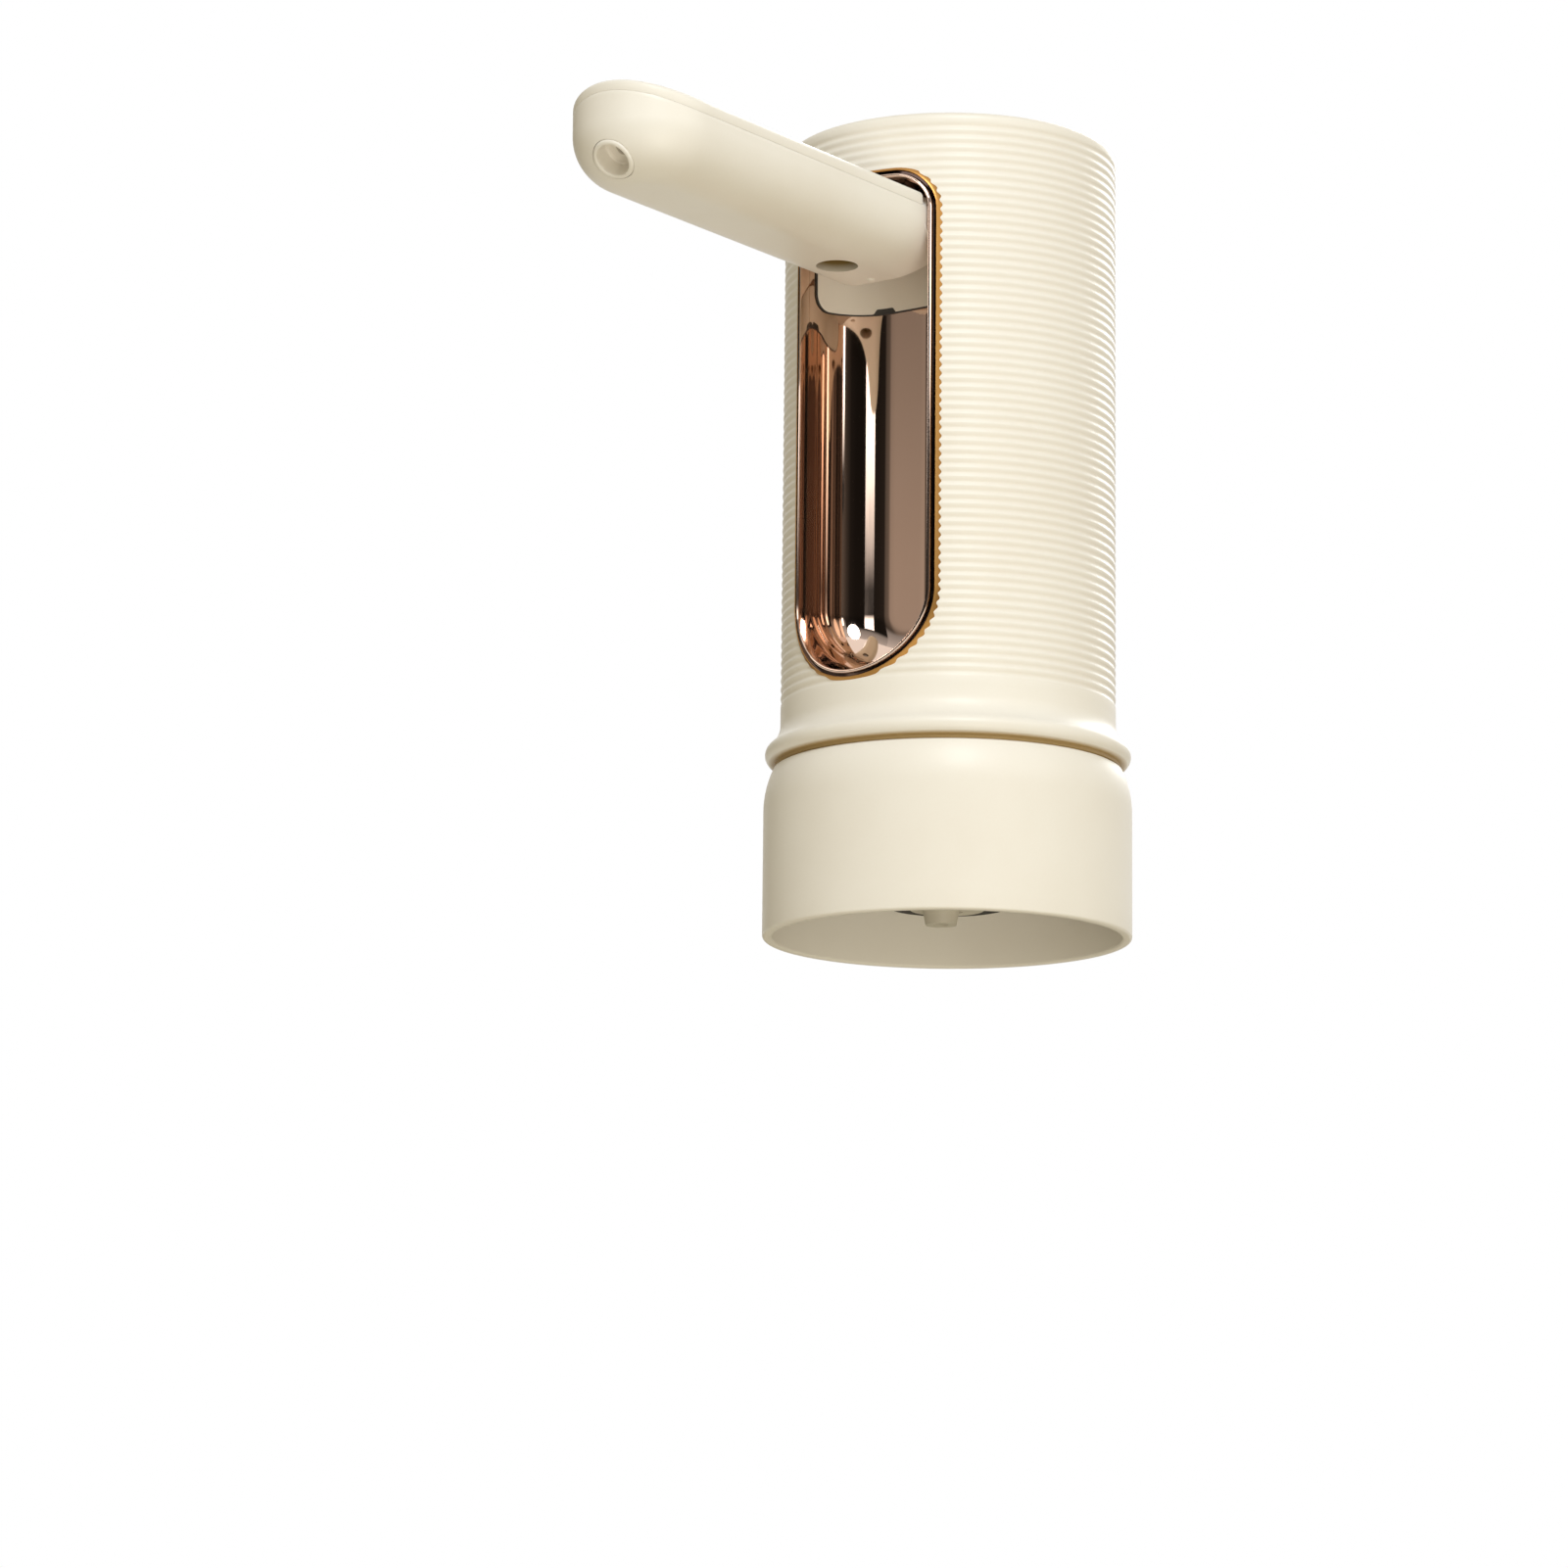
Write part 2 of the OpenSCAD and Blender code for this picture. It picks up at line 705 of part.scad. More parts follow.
module lip_gasket() {
    color("#4a4a4a") difference() {
        cylinder(r = flange_d / 2 - gasket_inset, h = gasket_t);
        translate([0, 0, -1]) cylinder(r = core_r + seat_fit, h = gasket_t + 2);
    }
}

module battery_cell() {
    color("#3f7f5f") translate([cell_at[0], cell_at[1], deck_z]) {
        cylinder(r = cell_r, h = cell_h - cell_tip_h);
        cylinder(r = cell_tip_r, h = cell_h);
    }
}

module at_motor(z) {
    translate([motor_at[0], motor_at[1], z]) children();
}

module motor_pad() {
    color("#303030") at_motor(deck_z) cylinder(r = motor_r, h = pad_t);
}

module motor_can() {
    color("silver") at_motor(motor_z) difference() {
        cylinder(r = motor_r, h = motor_h);
        translate([0, 0, motor_floor]) cylinder(r = shaft_r + run_fit, h = motor_h);
    }
}

module motor_rotor() {
    color("gray") at_motor(motor_z + motor_floor + end_play) {
        cylinder(r = shaft_r, h = motor_h + 2.4 + crank_t);
        translate([crank_offset, 0, motor_h + 2]) cylinder(r = crank_r, h = crank_t);
    }
}

module pump_body() {
    color("#2b2b2b") at_motor(pump_z) difference() {
        cylinder(r = pump_r, h = pump_h);
        translate([0, 0, pump_floor]) cylinder(r = crank_r + crank_offset + 1, h = pump_h);
        translate([0, 0, -1]) cylinder(r = shaft_r + 0.4, h = pump_floor + 2);
    }
}

module pump_diaphragm() {
    color("#555555") at_motor(diaphragm_z) cylinder(r = pump_r - diaphragm_inset, h = diaphragm_t);
}

module pump_head() {
    color("#2b2b2b") difference() {
        at_motor(head_z) cylinder(r = pump_r, h = head_t);
        at_motor(outlet_z) rotate([0, 90, outlet_turn]) cylinder(r = air_bore, h = far);
    }
}

module air_hose() {
    color("#d8d8d8") translate([0, air_y, 0]) rotate(outlet_turn - 90) difference() {
        bent_line(air_hose_d / 2, valve_top + seat_fit, outlet_z - air_bend, air_bend, 90);
        bent_line(air_bore, valve_top + seat_fit, outlet_z - air_bend, air_bend, 90);
    }
}

// A hose's line: straight up from its foot, then round a bend towards -Y
module bent_line(r, foot, bend_z, bend_r, angle) {
    translate([0, 0, foot]) cylinder(r = r, h = bend_z - foot);
    translate([0, -bend_r, bend_z]) rotate([90, 0, 90])
        rotate_extrude(angle = angle) translate([bend_r, 0]) circle(r);
}

module air_valve() {
    color("#eeeeee") translate([0, air_y, 0]) difference() {
        union() {
            translate([0, 0, deck_z - valve_plug])
                cylinder(r = air_hose_d / 2 - seat_fit, h = valve_plug + 0.4);
            translate([0, 0, deck_z]) cylinder(r = air_hose_d / 2 + valve_step, h = valve_top - deck_z);
        }
        cylinder(r = air_bore, h = far);
    }
}

module wine_hose() {
    bend_z = tail_z - hose_bend * cos(stem_angle);
    color("#d8c8c8") translate([0, wine_y, 0]) difference() {
        bent_line(hose_r, hose_foot, bend_z, hose_bend, 90 + stem_angle);
        bent_line(hose_bore, hose_foot, bend_z, hose_bend, 90 + stem_angle);
    }
}

module hinge_axle() {
    color("silver") difference() {
        intersection() {
            hinge_line(axle_r - seat_fit);
            translate([-window_half - bay_wall, -far / 2, 0])
                cube([2 * (window_half + bay_wall), far, far]);
            cylinder(r = inner_r - seat_fit, h = top_z);
        }
        translate([-1, -pivot_s, pivot_z]) rotate([0, 90, 0]) cylinder(r = axle_bore, h = chamber_x + 2);
        stem_line(axle_bore + seat_fit);
        translate([chamber_x, -pivot_s, pivot_z]) rotate([90, 0, 0]) cylinder(r = port_r, h = 2 * axle_d);
    }
}

module axle_seals() {
    color("#303030") for (side = [-1, 1])
        translate([chamber_x + side * (chamber_w / 2 - seal_r - seat_fit), -pivot_s, pivot_z])
            rotate([0, 90, 0]) rotate_extrude() translate([axle_r + seal_r + seat_fit, 0]) circle(seal_r);
}

module feed_stem() {
    run = (pivot_s + tail_y) / cos(stem_angle);
    color("silver") difference() {
        union() {
            stem_line(axle_bore, 0.4, axle_r);
            stem_line(stem_r - seat_fit, axle_r + 0.3, run - axle_r - 0.3 - seat_fit);
        }
        stem_line(stem_bore, -1, far / 4);
    }
}

// Inside of the spout's lower half, ahead of the solid root
module spout_hollow() {
    difference() {
        spout_form(-spout_wall, knuckle_s);
        translate([0, -screw_reach, 0]) cylinder(r = counterbore_d / 2 + boss_wall, h = boss_top);
    }
}

module nozzle_line(r, start, length) {
    reach = nose_r * cos(nozzle_angle);
    translate([0, -tip_s - half_w + nose_r - reach, under_z + nose_r - nose_r * sin(nozzle_angle)])
        rotate([90 + nozzle_angle, 0, 0]) translate([0, 0, start]) cylinder(r = r, h = length);
}

module spout_shell() {
    color("#efe6d0") difference() {
        union() {
            intersection() {
                spout_form(0, pivot_s - heel_back - 1);
                side_profile();
                union() {
                    under_crown(cover_t);
                    intersection() {
                        under_crown(0);
                        translate([-far / 2, seat_fit - cover_s, 0]) cube([far, far, far]);
                    }
                }
            }
            root_barrel();
        }
        spout_hollow();
        hinge_line(axle_r + run_fit - seat_fit);
        translate([chamber_x - chamber_w / 2, -pivot_s, pivot_z]) rotate([0, 90, 0])
            cylinder(r = chamber_r, h = chamber_w);
        stem_slot();
        pour_line(pour_tube_d / 2);
        nozzle_line(nozzle_d / 2 + seat_fit, -nozzle_h - 1, 2 * nozzle_h);
        translate([0, -screw_reach, 0]) cylinder(r = screw_r + screw_gap, h = far);
        translate([0, -screw_reach, 0]) cylinder(r = counterbore_d / 2, h = boss_top - boss_floor);
    }
}

// Room for the fixed stem through the spout's whole swing
module stem_slot() {
    half = stem_r + slot_gap;
    translate([-half, -pivot_s, pivot_z]) rotate([stem_angle, 0, 0]) translate([0, 0, -far])
        cube([2 * half, far, far]);
    stem_line(half);
    stem_line(half, turn = 90);
}

module spout_cover() {
    color("#efe6d0") difference() {
        union() {
            difference() {
                intersection() {
                    spout_form(0, cover_s);
                    under_crown(0);
                }
                under_crown(cover_t - seat_fit);
            }
            intersection() {
                translate([0, -screw_reach, boss_top]) cylinder(r = cover_boss_r, h = far);
                under_crown(cover_t / 2);
            }
        }
        translate([0, -screw_reach, 0]) cylinder(r = screw_r + seat_fit, h = boss_top + cover_pilot);
    }
}

module spout_screw() {
    color("silver") translate([0, -screw_reach, boss_top - boss_floor])
        screw(boss_floor + cover_pilot - screw_end_gap);
}

// The tube runs straight from the axle's chamber, past the screw's boss, to the nozzle
module pour_line(r, spare = 0) {
    start = [chamber_x, -pivot_s - chamber_r];
    run = [0, -tip_s - pour_over] - start;
    translate([start[0], start[1], pour_z]) rotate([0, 90, atan2(run[1], run[0])])
        translate([0, 0, -spare]) cylinder(r = r, h = norm(run) + 2 * spare);
}

module pour_tube() {
    color("#d8c8c8") difference() {
        pour_line(pour_tube_d / 2 - seat_fit);
        pour_line(pour_bore, 1);
    }
}

module pour_nozzle() {
    color("#f6efdf") difference() {
        intersection() {
            nozzle_line(nozzle_d / 2, -nozzle_h, 2 * nozzle_h);
            spout_form(nozzle_proud, knuckle_s);
        }
        nozzle_line(nozzle_bore / 2, nozzle_floor - nozzle_h, 2 * nozzle_h);
        nozzle_line(pour_bore, -nozzle_h - 1, nozzle_h);
    }
}

ribbed_shell();
skirt();
window_bezel();
spout_bay();
hinge_seat();
top_cap();
light_ring();
power_button();
switch_plunger();
tact_switch();
control_board();
usb_socket();
chassis();
bay_screws();
base_deck();
skirt_screws();
stopper_core();
core_screws();
bottle_stopper();
lip_gasket();
battery_cell();
motor_pad();
motor_can();
motor_rotor();
pump_body();
pump_diaphragm();
pump_head();
air_hose();
air_valve();
wine_hose();
hinge_axle();
axle_seals();
feed_stem();
spout_shell();
spout_cover();
spout_screw();
pour_tube();
pour_nozzle();
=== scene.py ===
import json
import math
import bmesh
import bpy
from mathutils import Matrix, Vector


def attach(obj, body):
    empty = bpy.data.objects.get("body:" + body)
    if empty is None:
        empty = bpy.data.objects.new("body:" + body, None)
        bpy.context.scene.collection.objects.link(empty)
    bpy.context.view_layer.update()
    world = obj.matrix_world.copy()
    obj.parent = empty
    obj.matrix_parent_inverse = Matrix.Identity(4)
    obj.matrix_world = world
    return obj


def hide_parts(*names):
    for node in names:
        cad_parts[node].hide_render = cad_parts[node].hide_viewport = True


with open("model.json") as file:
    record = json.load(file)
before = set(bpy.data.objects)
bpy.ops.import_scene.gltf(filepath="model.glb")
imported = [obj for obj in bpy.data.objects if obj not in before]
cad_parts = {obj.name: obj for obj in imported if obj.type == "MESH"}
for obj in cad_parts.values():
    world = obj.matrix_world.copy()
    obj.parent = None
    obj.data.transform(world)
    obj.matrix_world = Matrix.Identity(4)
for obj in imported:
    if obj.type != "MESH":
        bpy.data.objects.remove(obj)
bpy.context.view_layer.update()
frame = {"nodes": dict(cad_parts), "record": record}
mm = 0.001


# Camera: a long lens held below the part, so that its ribs rise in shallow arches.
# Its place, turn and tilt come from the ellipses that the ribs make.
camera_swing = math.radians(34.5)
camera_reach, camera_height = 845 * mm, -161 * mm
camera_yaw, camera_pitch, camera_roll = (math.radians(turn) for turn in (1.652, 10.94, -0.593))
sensor_width, focal_pixels, photo_pixels = 36, 5902.8, 1601
sideways = Vector((math.cos(camera_yaw), math.sin(camera_yaw), 0))
ahead = Vector((-math.sin(camera_yaw), math.cos(camera_yaw), 0))
look = ahead * math.cos(camera_pitch) + Vector((0, 0, math.sin(camera_pitch)))
over = Vector((0, 0, math.cos(camera_pitch))) - ahead * math.sin(camera_pitch)
picture_right = sideways * math.cos(camera_roll) - over * math.sin(camera_roll)
picture_up = sideways * math.sin(camera_roll) + over * math.cos(camera_roll)
swung = Matrix.Rotation(camera_swing, 3, "Z")
camera_axes = Matrix([swung @ v for v in (picture_right, picture_up, -look)]).transposed()
camera_spot = Vector((camera_reach * math.sin(camera_swing), -camera_reach * math.cos(camera_swing),
                      camera_height))
camera_data = bpy.data.cameras.new("camera")
camera_data.sensor_width = sensor_width
camera_data.lens = sensor_width * focal_pixels / photo_pixels
camera_data.clip_start = 0.01
camera = bpy.data.objects.new("camera", camera_data)
bpy.context.scene.collection.objects.link(camera)
camera.matrix_world = Matrix.Translation(camera_spot) @ camera_axes.to_4x4()
bpy.context.scene.camera = camera
bpy.context.scene.view_settings.view_transform = "Standard"


# Studio: a white room with a warm fill, and a pale table under the skirt's rim that fades into the white
# and is open to what looks up from below. Four soft lamps light the part, and dark and bright cards stand
# round it that only the polished metal shows.
table_half, table_z, table_near, table_far = 1500, -21.2, 0.16, 0.62
screen_reach, screen_low, screen_high, screen_side = 1500, -300, 1500, 120
screen_tones = [(-120, 0.03), (-76, 0.05), (-72, 0.02), (-64, 0.02), (-60, 0.10), (-50, 0.10), (-46, 0.08),
                (-42, 0.06), (-39.5, 0.08), (-37, 0.34), (-32, 0.27), (-29, 0.12), (-22.5, 0.08), (-20, 0.018),
                (16, 0.008), (40, 0.008), (50, 0.012), (58, 0.04), (64, 0.08), (76, 0.1), (120, 0.08)]
bright_cards = (("strip_light", 1, 19, 120.0, 164.0), ("lip_light", 62, 105, 150.0, 168.0))
bright_reach, bright_top, bright_strength = 400, 240, 3.0
lamps = (("key_lamp", (506, -524, 560), 330, 4.2, (0.895, 0.955, 1.0)),
         ("left_lamp", (-640, -420, 520), 420, 0.5, (1.0, 0.93, 0.80)),
         ("low_lamp", (560, -430, -350), 420, 1.85, (1.0, 0.93, 0.78)),
         ("back_lamp", (-100, 700, 480), 480, 3.6, (0.95, 0.98, 1.0)))
lamp_target = Vector((0, 0, 0.04))


class Wire:
    """A node tree and one of its sockets. Arithmetic on it adds Math nodes to the tree."""

    def __init__(self, tree, socket=None):
        self.tree = tree
        self.socket = socket

    def node(self, kind, settings=None, inputs=None, out=0):
        made = self.tree.nodes.new(kind)
        for key, value in (settings or {}).items():
            if key == "stops":
                for _ in value[2:]:
                    made.color_ramp.elements.new(1.0)
                for stop, (place, colour) in zip(made.color_ramp.elements, value):
                    stop.position = place
                    stop.color = (*colour, 1.0)
            else:
                setattr(made, key, value)
        for key, value in (inputs or {}).items():
            if isinstance(value, Wire):
                self.tree.links.new(value.socket, made.inputs[key])
            else:
                made.inputs[key].default_value = value
        return Wire(self.tree, made.outputs[out] if made.outputs else None)

    def maths(self, operation, a, b=0.0):
        return self.node("ShaderNodeMath", {"operation": operation}, {0: a, 1: b})

    def place(self):
        return self.node("ShaderNodeTexCoord", out="Object")

    def split(self, vector, *axes):
        return [self.node("ShaderNodeSeparateXYZ", None, {"Vector": vector}, out=axis) for axis in axes]

    def noise(self, place, scale, detail, **more):
        return self.node("ShaderNodeTexNoise", None, {"Vector": place, "Scale": scale, "Detail": detail, **more})

    def ramp(self, value, low, high, start=0.0, end=1.0, curve="LINEAR"):
        """Start below low, end above high, and what lies between them on the way."""
        return self.node("ShaderNodeMapRange", {"interpolation_type": curve}, {
            "Value": value, "From Min": low, "From Max": high, "To Min": start, "To Max": end})

    def blend(self, factor, first, second, way="MIX"):
        """A colour between two others, each a wire or three numbers."""
        first, second = (c if isinstance(c, Wire) else (*c, 1) for c in (first, second))
        return self.node("ShaderNodeMix", {"data_type": "RGBA", "blend_type": way},
                         {"Factor": factor, 6: first, 7: second}, out=2)

    def bump(self, height, strength, distance):
        return self.node("ShaderNodeBump", None, {
            "Strength": strength, "Distance": distance * mm, "Height": height})

    def skin(self, tone, rough, **more):
        """Ends a material with a Principled shader."""
        made = self.node("ShaderNodeBsdfPrincipled", None, {"Base Color": tone, "Roughness": rough, **more})
        self.node("ShaderNodeOutputMaterial", None, {"Surface": made})

    def glow(self, colour, strength):
        made = self.node("ShaderNodeEmission", None, {"Color": colour, "Strength": strength})
        self.node("ShaderNodeOutputMaterial", None, {"Surface": made})

    def __add__(self, other):
        return self.maths("ADD", self, other)

    __radd__ = __add__

    def __sub__(self, other):
        return self.maths("SUBTRACT", self, other)

    def __rsub__(self, other):
        return self.maths("SUBTRACT", other, self)

    def __mul__(self, other):
        return self.maths("MULTIPLY", self, other)

    __rmul__ = __mul__

    def __truediv__(self, other):
        return self.maths("DIVIDE", self, other)


def shaded(name):
    material = bpy.data.materials.new(name)
    material.use_nodes = True
    material.node_tree.nodes.clear()
    return material, Wire(material.node_tree)


def strips(rows, around=False):
    """The faces that join each row of points to the next, counted through all the rows."""
    wide = len(rows[0])
    faces = []
    for i in range(len(rows) - 1):
        for j in range(wide if around else wide - 1):
            k = (j + 1) % wide
            faces.append((i * wide + j, i * wide + k, (i + 1) * wide + k, (i + 1) * wide + j))
    return faces


def from_rows(name, rows, around=False, caps=()):
    """A mesh from rows of points, with any end faces."""
    return from_faces(name, [p for row in rows for p in row], strips(rows, around) + list(caps))


def from_faces(name, points, faces):
    """A mesh with doubled points merged and its faces turned outwards."""
    mesh = bpy.data.meshes.new(name)
    mesh.from_pydata([Vector(p) * mm for p in points], [], faces)
    shape = bmesh.new()
    shape.from_mesh(mesh)
    bmesh.ops.remove_doubles(shape, verts=shape.verts, dist=0.002 * mm)
    bmesh.ops.dissolve_degenerate(shape, edges=shape.edges, dist=0.001 * mm)
    bmesh.ops.recalc_face_normals(shape, faces=shape.faces)
    shape.to_mesh(mesh)
    shape.free()
    thing = bpy.data.objects.new(name, mesh)
    bpy.context.scene.collection.objects.link(thing)
    return thing


def curved_card(name, reach, start, end, low, high, pieces=48):
    """A card bent round the part at a distance, from one bearing to another, that only mirrors see."""
    turns = [math.radians(start + (end - start) * i / pieces) for i in range(pieces + 1)]
    made = from_rows(name, [[(reach * math.sin(a), -reach * math.cos(a), z) for a in turns] for z in (low, high)])
    for ray in ("camera", "diffuse", "transmission", "volume_scatter", "shadow"):
        setattr(made, "visible_" + ray, False)
    material, wire = shaded(name)
    made.data.materials.append(material)
    x, y, z = wire.split(wire.place(), 0, 1, 2)
    return wire, wire.maths("ARCTAN2", x, 0 - y) * (180 / math.pi), z / mm


room = bpy.data.worlds.new("room")
bpy.context.scene.world = room
room.use_nodes = True
room.node_tree.nodes.clear()
wire = Wire(room.node_tree)
seen, mirrored, through = (wire.node("ShaderNodeLightPath", out=ray) for ray in (
    "Is Camera Ray", "Is Glossy Ray", "Is Transmission Ray"))
shown = wire.maths("MINIMUM", seen + mirrored + through, 1.0)
soft_light = wire.node("ShaderNodeBackground", None, {"Color": (1.0, 0.905, 0.67, 1), "Strength": 0.465})
white = wire.node("ShaderNodeBackground", None, {"Color": (1, 1, 1, 1), "Strength": 1.0})
mixed = wire.node("ShaderNodeMixShader", None, {0: shown, 1: soft_light, 2: white})
wire.node("ShaderNodeOutputWorld", None, {"Surface": mixed})

table = from_faces("table", [(x * table_half, y * table_half, table_z)
                             for x, y in ((-1, -1), (1, -1), (1, 1), (-1, 1))], [(0, 1, 2, 3)])
table_top, wire = shaded("table_top")
below = wire.node("ShaderNodeNewGeometry", out="Backfacing")
seen, mirrored = (wire.node("ShaderNodeLightPath", out=ray) for ray in ("Is Camera Ray", "Is Glossy Ray"))
place = wire.place()
pale = wire.blend(wire.noise(place, 9.0, 3.0), (0.83, 0.85, 0.885), (0.86, 0.88, 0.915))
matt = wire.node("ShaderNodeBsdfDiffuse", None, {"Color": pale})
clear = wire.node("ShaderNodeBsdfTransparent")
x, y = wire.split(place, 0, 1)
near = wire.ramp(wire.maths("SQRT", x * x + y * y), table_near, table_far, 1.0, 0.0, "SMOOTHSTEP")
mixed = wire.node("ShaderNodeMixShader", None, {0: (seen + mirrored) * (1 - below) * near, 1: clear, 2: matt})
wire.node("ShaderNodeOutputMaterial", None, {"Surface": mixed})
table.data.materials.append(table_top)

wire, bearing, height = curved_card("dark_screen", screen_reach, -screen_side, screen_side,
                                    screen_low, screen_high)
bands = wire.node("ShaderNodeValToRGB", {
    "stops": [((a + screen_side) / (2 * screen_side), (v, v * 0.86, v * 0.74)) for a, v in screen_tones]},
    {"Fac": (bearing + screen_side) / (2 * screen_side)})
bands = wire.blend(1.0, bands, wire.ramp(height, 380.0, 520.0, 1.3, 0.75), "MULTIPLY")
middle = wire.maths("GREATER_THAN", bearing, -21.0) * wire.maths("LESS_THAN", bearing, 60.0)
level = height - middle * 300
upper = wire.ramp(level, 560.0, 700.0)
lighter = wire.ramp(level, 700.0, 1400.0, 0.3, 0.6)
wire.glow(wire.blend(upper, bands, lighter), 1.0)
for name, start, end, dim, bright in bright_cards:
    wire, bearing, height = curved_card(name, bright_reach, start, end, dim - 10, bright_top)
    worn = wire.noise(wire.place(), 120.0, 4.0)
    wire.glow(wire.ramp(height, dim, bright, 0.01) * (0.35 + worn * 1.3), bright_strength)

for name, spot, size, watts, colour in lamps:
    lamp = bpy.data.lights.new(name, "AREA")
    lamp.shape = "DISK"
    lamp.size = size * mm
    lamp.energy = watts
    lamp.color = colour
    holder = bpy.data.objects.new(name, lamp)
    bpy.context.scene.collection.objects.link(holder)
    spot = Vector(spot) * mm
    aim = (lamp_target - spot).to_track_quat("-Z", "Y")
    holder.matrix_world = Matrix.Translation(spot) @ aim.to_matrix().to_4x4()


# Ribbed sleeve: an injection-moulded tube in satin cream plastic, with level ribs all the way round,
# a plain band and a rounded bead at its foot. The window and the charging slot go through its wall.
body_r, sleeve_bore, sleeve_top, sleeve_foot = 25.0, 23.4, 99.0, 4.4
rib_pitch, groove_depth, first_groove, groove_count, rib_steps = 1.35, 0.2, 96.8, 62, 8
bead_r, bead_z, neck_r, flare_r, flare_z, band_top = 1.5, 6.5, 25.75, 4.0, 10.937, 12.6
top_round, bore_round = 1, 0.3
window_half, window_corner, window_low, window_high, window_gap = 11.45, 4.8, 26.95, 89.2, 1.25
slot_half, slot_r, slot_z = 2.85, 1.9, 94.0
cream, cream_pale = (0.852, 0.807, 0.744), (0.878, 0.847, 0.800)
# Tones for painted shade in the rib grooves, a painted shadow line under the bead and painted shade up the screw
# well.
groove_shade_tone, seam_shadow_tone, well_shade_tone = (0.640, 0.530, 0.370), (0.400, 0.265, 0.095), (0.210, 0.130, 0.030)


def cream_plastic(name, grooves=0.0, hole=None, gloss=0.45):
    """Satin plastic: faint flow clouds and fine moulded grain; with grooves, painted shade in the rib grooves and
    a painted shadow line under the bead; with a hole, painted shade that darkens up the hole.
    """
    material, wire = shaded(name)
    place = wire.place()
    clouds = wire.noise(place, 38.0, 4.0, Roughness=0.55)
    grain = wire.noise(place, 2600.0, 2.0)
    smears = wire.noise(place, 140.0, 5.0, Distortion=0.6)
    tone = wire.node("ShaderNodeValToRGB", {"stops": [(0.3, [c * 0.975 for c in cream]), (0.7, cream_pale)]},
                     {"Fac": clouds * 0.75 + grain * 0.12 + 0.06})
    if grooves:
        x, y, z = wire.split(place, 0, 1, 2)
        radius = wire.maths("SQRT", x * x + y * y)
        outside = wire.maths("GREATER_THAN", radius, (body_r - 0.6) * mm)
        # Painted shade down in the rib grooves.
        groove_shade = wire.ramp(radius, (body_r - groove_depth) * mm, (body_r - 0.05) * mm, grooves, 0.0)
        tone = wire.blend(groove_shade * outside, tone, groove_shade_tone)
        # Painted shadow line under the bead, where it meets the skirt.
        seam_shadow = wire.ramp(z, (bead_z - 1.45) * mm, (bead_z - 1.08) * mm, 0.95, 0.0)
        tone = wire.blend(seam_shadow * outside, tone, seam_shadow_tone)
    if hole:
        z, = wire.split(place, 2)
        mouth, dark = hole
        # Painted shade, darker the higher up the hole.
        tone = wire.blend(wire.ramp(z, mouth * mm, dark * mm, 0.294, 0.98), tone, well_shade_tone)
    bump = wire.bump(grain + smears * 0.5, 0.10, 0.02)
    wire.skin(tone, 0.36 + smears * 0.14, Normal=bump, IOR=1.5, **{
        "Coat Weight": gloss * 0.12, "Coat Roughness": 0.25, "Specular IOR Level": gloss})
    return material


def smooth(thing, sharp=35):
    mesh = thing.data
    mesh.polygons.foreach_set("use_smooth", [True] * len(mesh.polygons))
    mesh.set_sharp_from_angle(angle=math.radians(sharp))
    return thing


def turned(name, outline, steps=144):
    """A ring turned about the part's axis from a closed outline of radius and height."""
    rows = []
    for i in range(steps + 1):
        a = 2 * math.pi * i / steps
        rows.append([(r * math.cos(a), r * math.sin(a), z) for r, z in outline])
    return from_rows(name, rows, around=True)


def arc(middle, radius, start, end, steps):
    angles = [math.radians(start + (end - start) * i / steps) for i in range(steps + 1)]
    return [(middle[0] + radius * math.cos(a), middle[1] + radius * math.sin(a)) for a in angles]


def window_edge(grow, step=2.5):
    """The window's outline from the front, as points with the direction that faces away from the opening."""
    flat, side, out = window_half - window_corner, window_high - window_corner, window_corner + grow
    wide = window_half + grow
    n = max(2, int(flat / step * 3))
    run = [(flat * i / n, window_high + grow, 0, 1) for i in range(n)]
    run += [(flat + out * math.sin(a), side + out * math.cos(a), math.sin(a), math.cos(a))
            for a in (math.pi / 2 * i / 12 for i in range(12))]
    n = int((side - window_low) / step)
    run += [(wide, side - (side - window_low) * i / n, 1, 0) for i in range(n)]
    run += [(wide * math.cos(a), window_low - wide * math.sin(a), math.cos(a), -math.sin(a))
            for a in (math.pi / 2 * i / 30 for i in range(30))]
    other = [(-x, z, -nx, nz) for x, z, nx, nz in reversed(run[1:])]
    return run + [(0, window_low - wide, 0, -1)] + other


def punch(name, outline, start, end, along="y"):
    """A tool solid: an outline of x and z carried along y, or of y and z carried along x."""
    n = len(outline)
    points = [(a, d, z) if along == "y" else (d, a, z) for d in (start, end) for a, z in outline]
    faces = [tuple(range(n)), tuple(range(2 * n - 1, n - 1, -1))]
    faces += [(i, (i + 1) % n, n + (i + 1) % n, n + i) for i in range(n)]
    return from_faces(name, points, faces)


def made_plain(thing):
    """What the modifiers of a thing give, as a plain mesh."""
    grid = bpy.context.evaluated_depsgraph_get()
    mesh = bpy.data.meshes.new_from_object(thing.evaluated_get(grid), preserve_all_data_layers=True,
                                           depsgraph=grid)
    thing.modifiers.clear()
    thing.data = mesh
    return thing


def tree_with(name, sizes):
    """A geometry tree with named inputs, and a dictionary of their sockets."""
    tree = bpy.data.node_groups.new(name, "GeometryNodeTree")
    tree.interface.new_socket("Geometry", in_out="INPUT", socket_type="NodeSocketGeometry")
    for label, kind in sizes.items():
        tree.interface.new_socket(label, in_out="INPUT", socket_type="NodeSocket" + kind)
    tree.interface.new_socket("Geometry", in_out="OUTPUT", socket_type="NodeSocketGeometry")
    entry = tree.nodes.new("NodeGroupInput")
    return tree, Wire(tree), {socket.name: Wire(tree, socket) for socket in entry.outputs if socket.name}


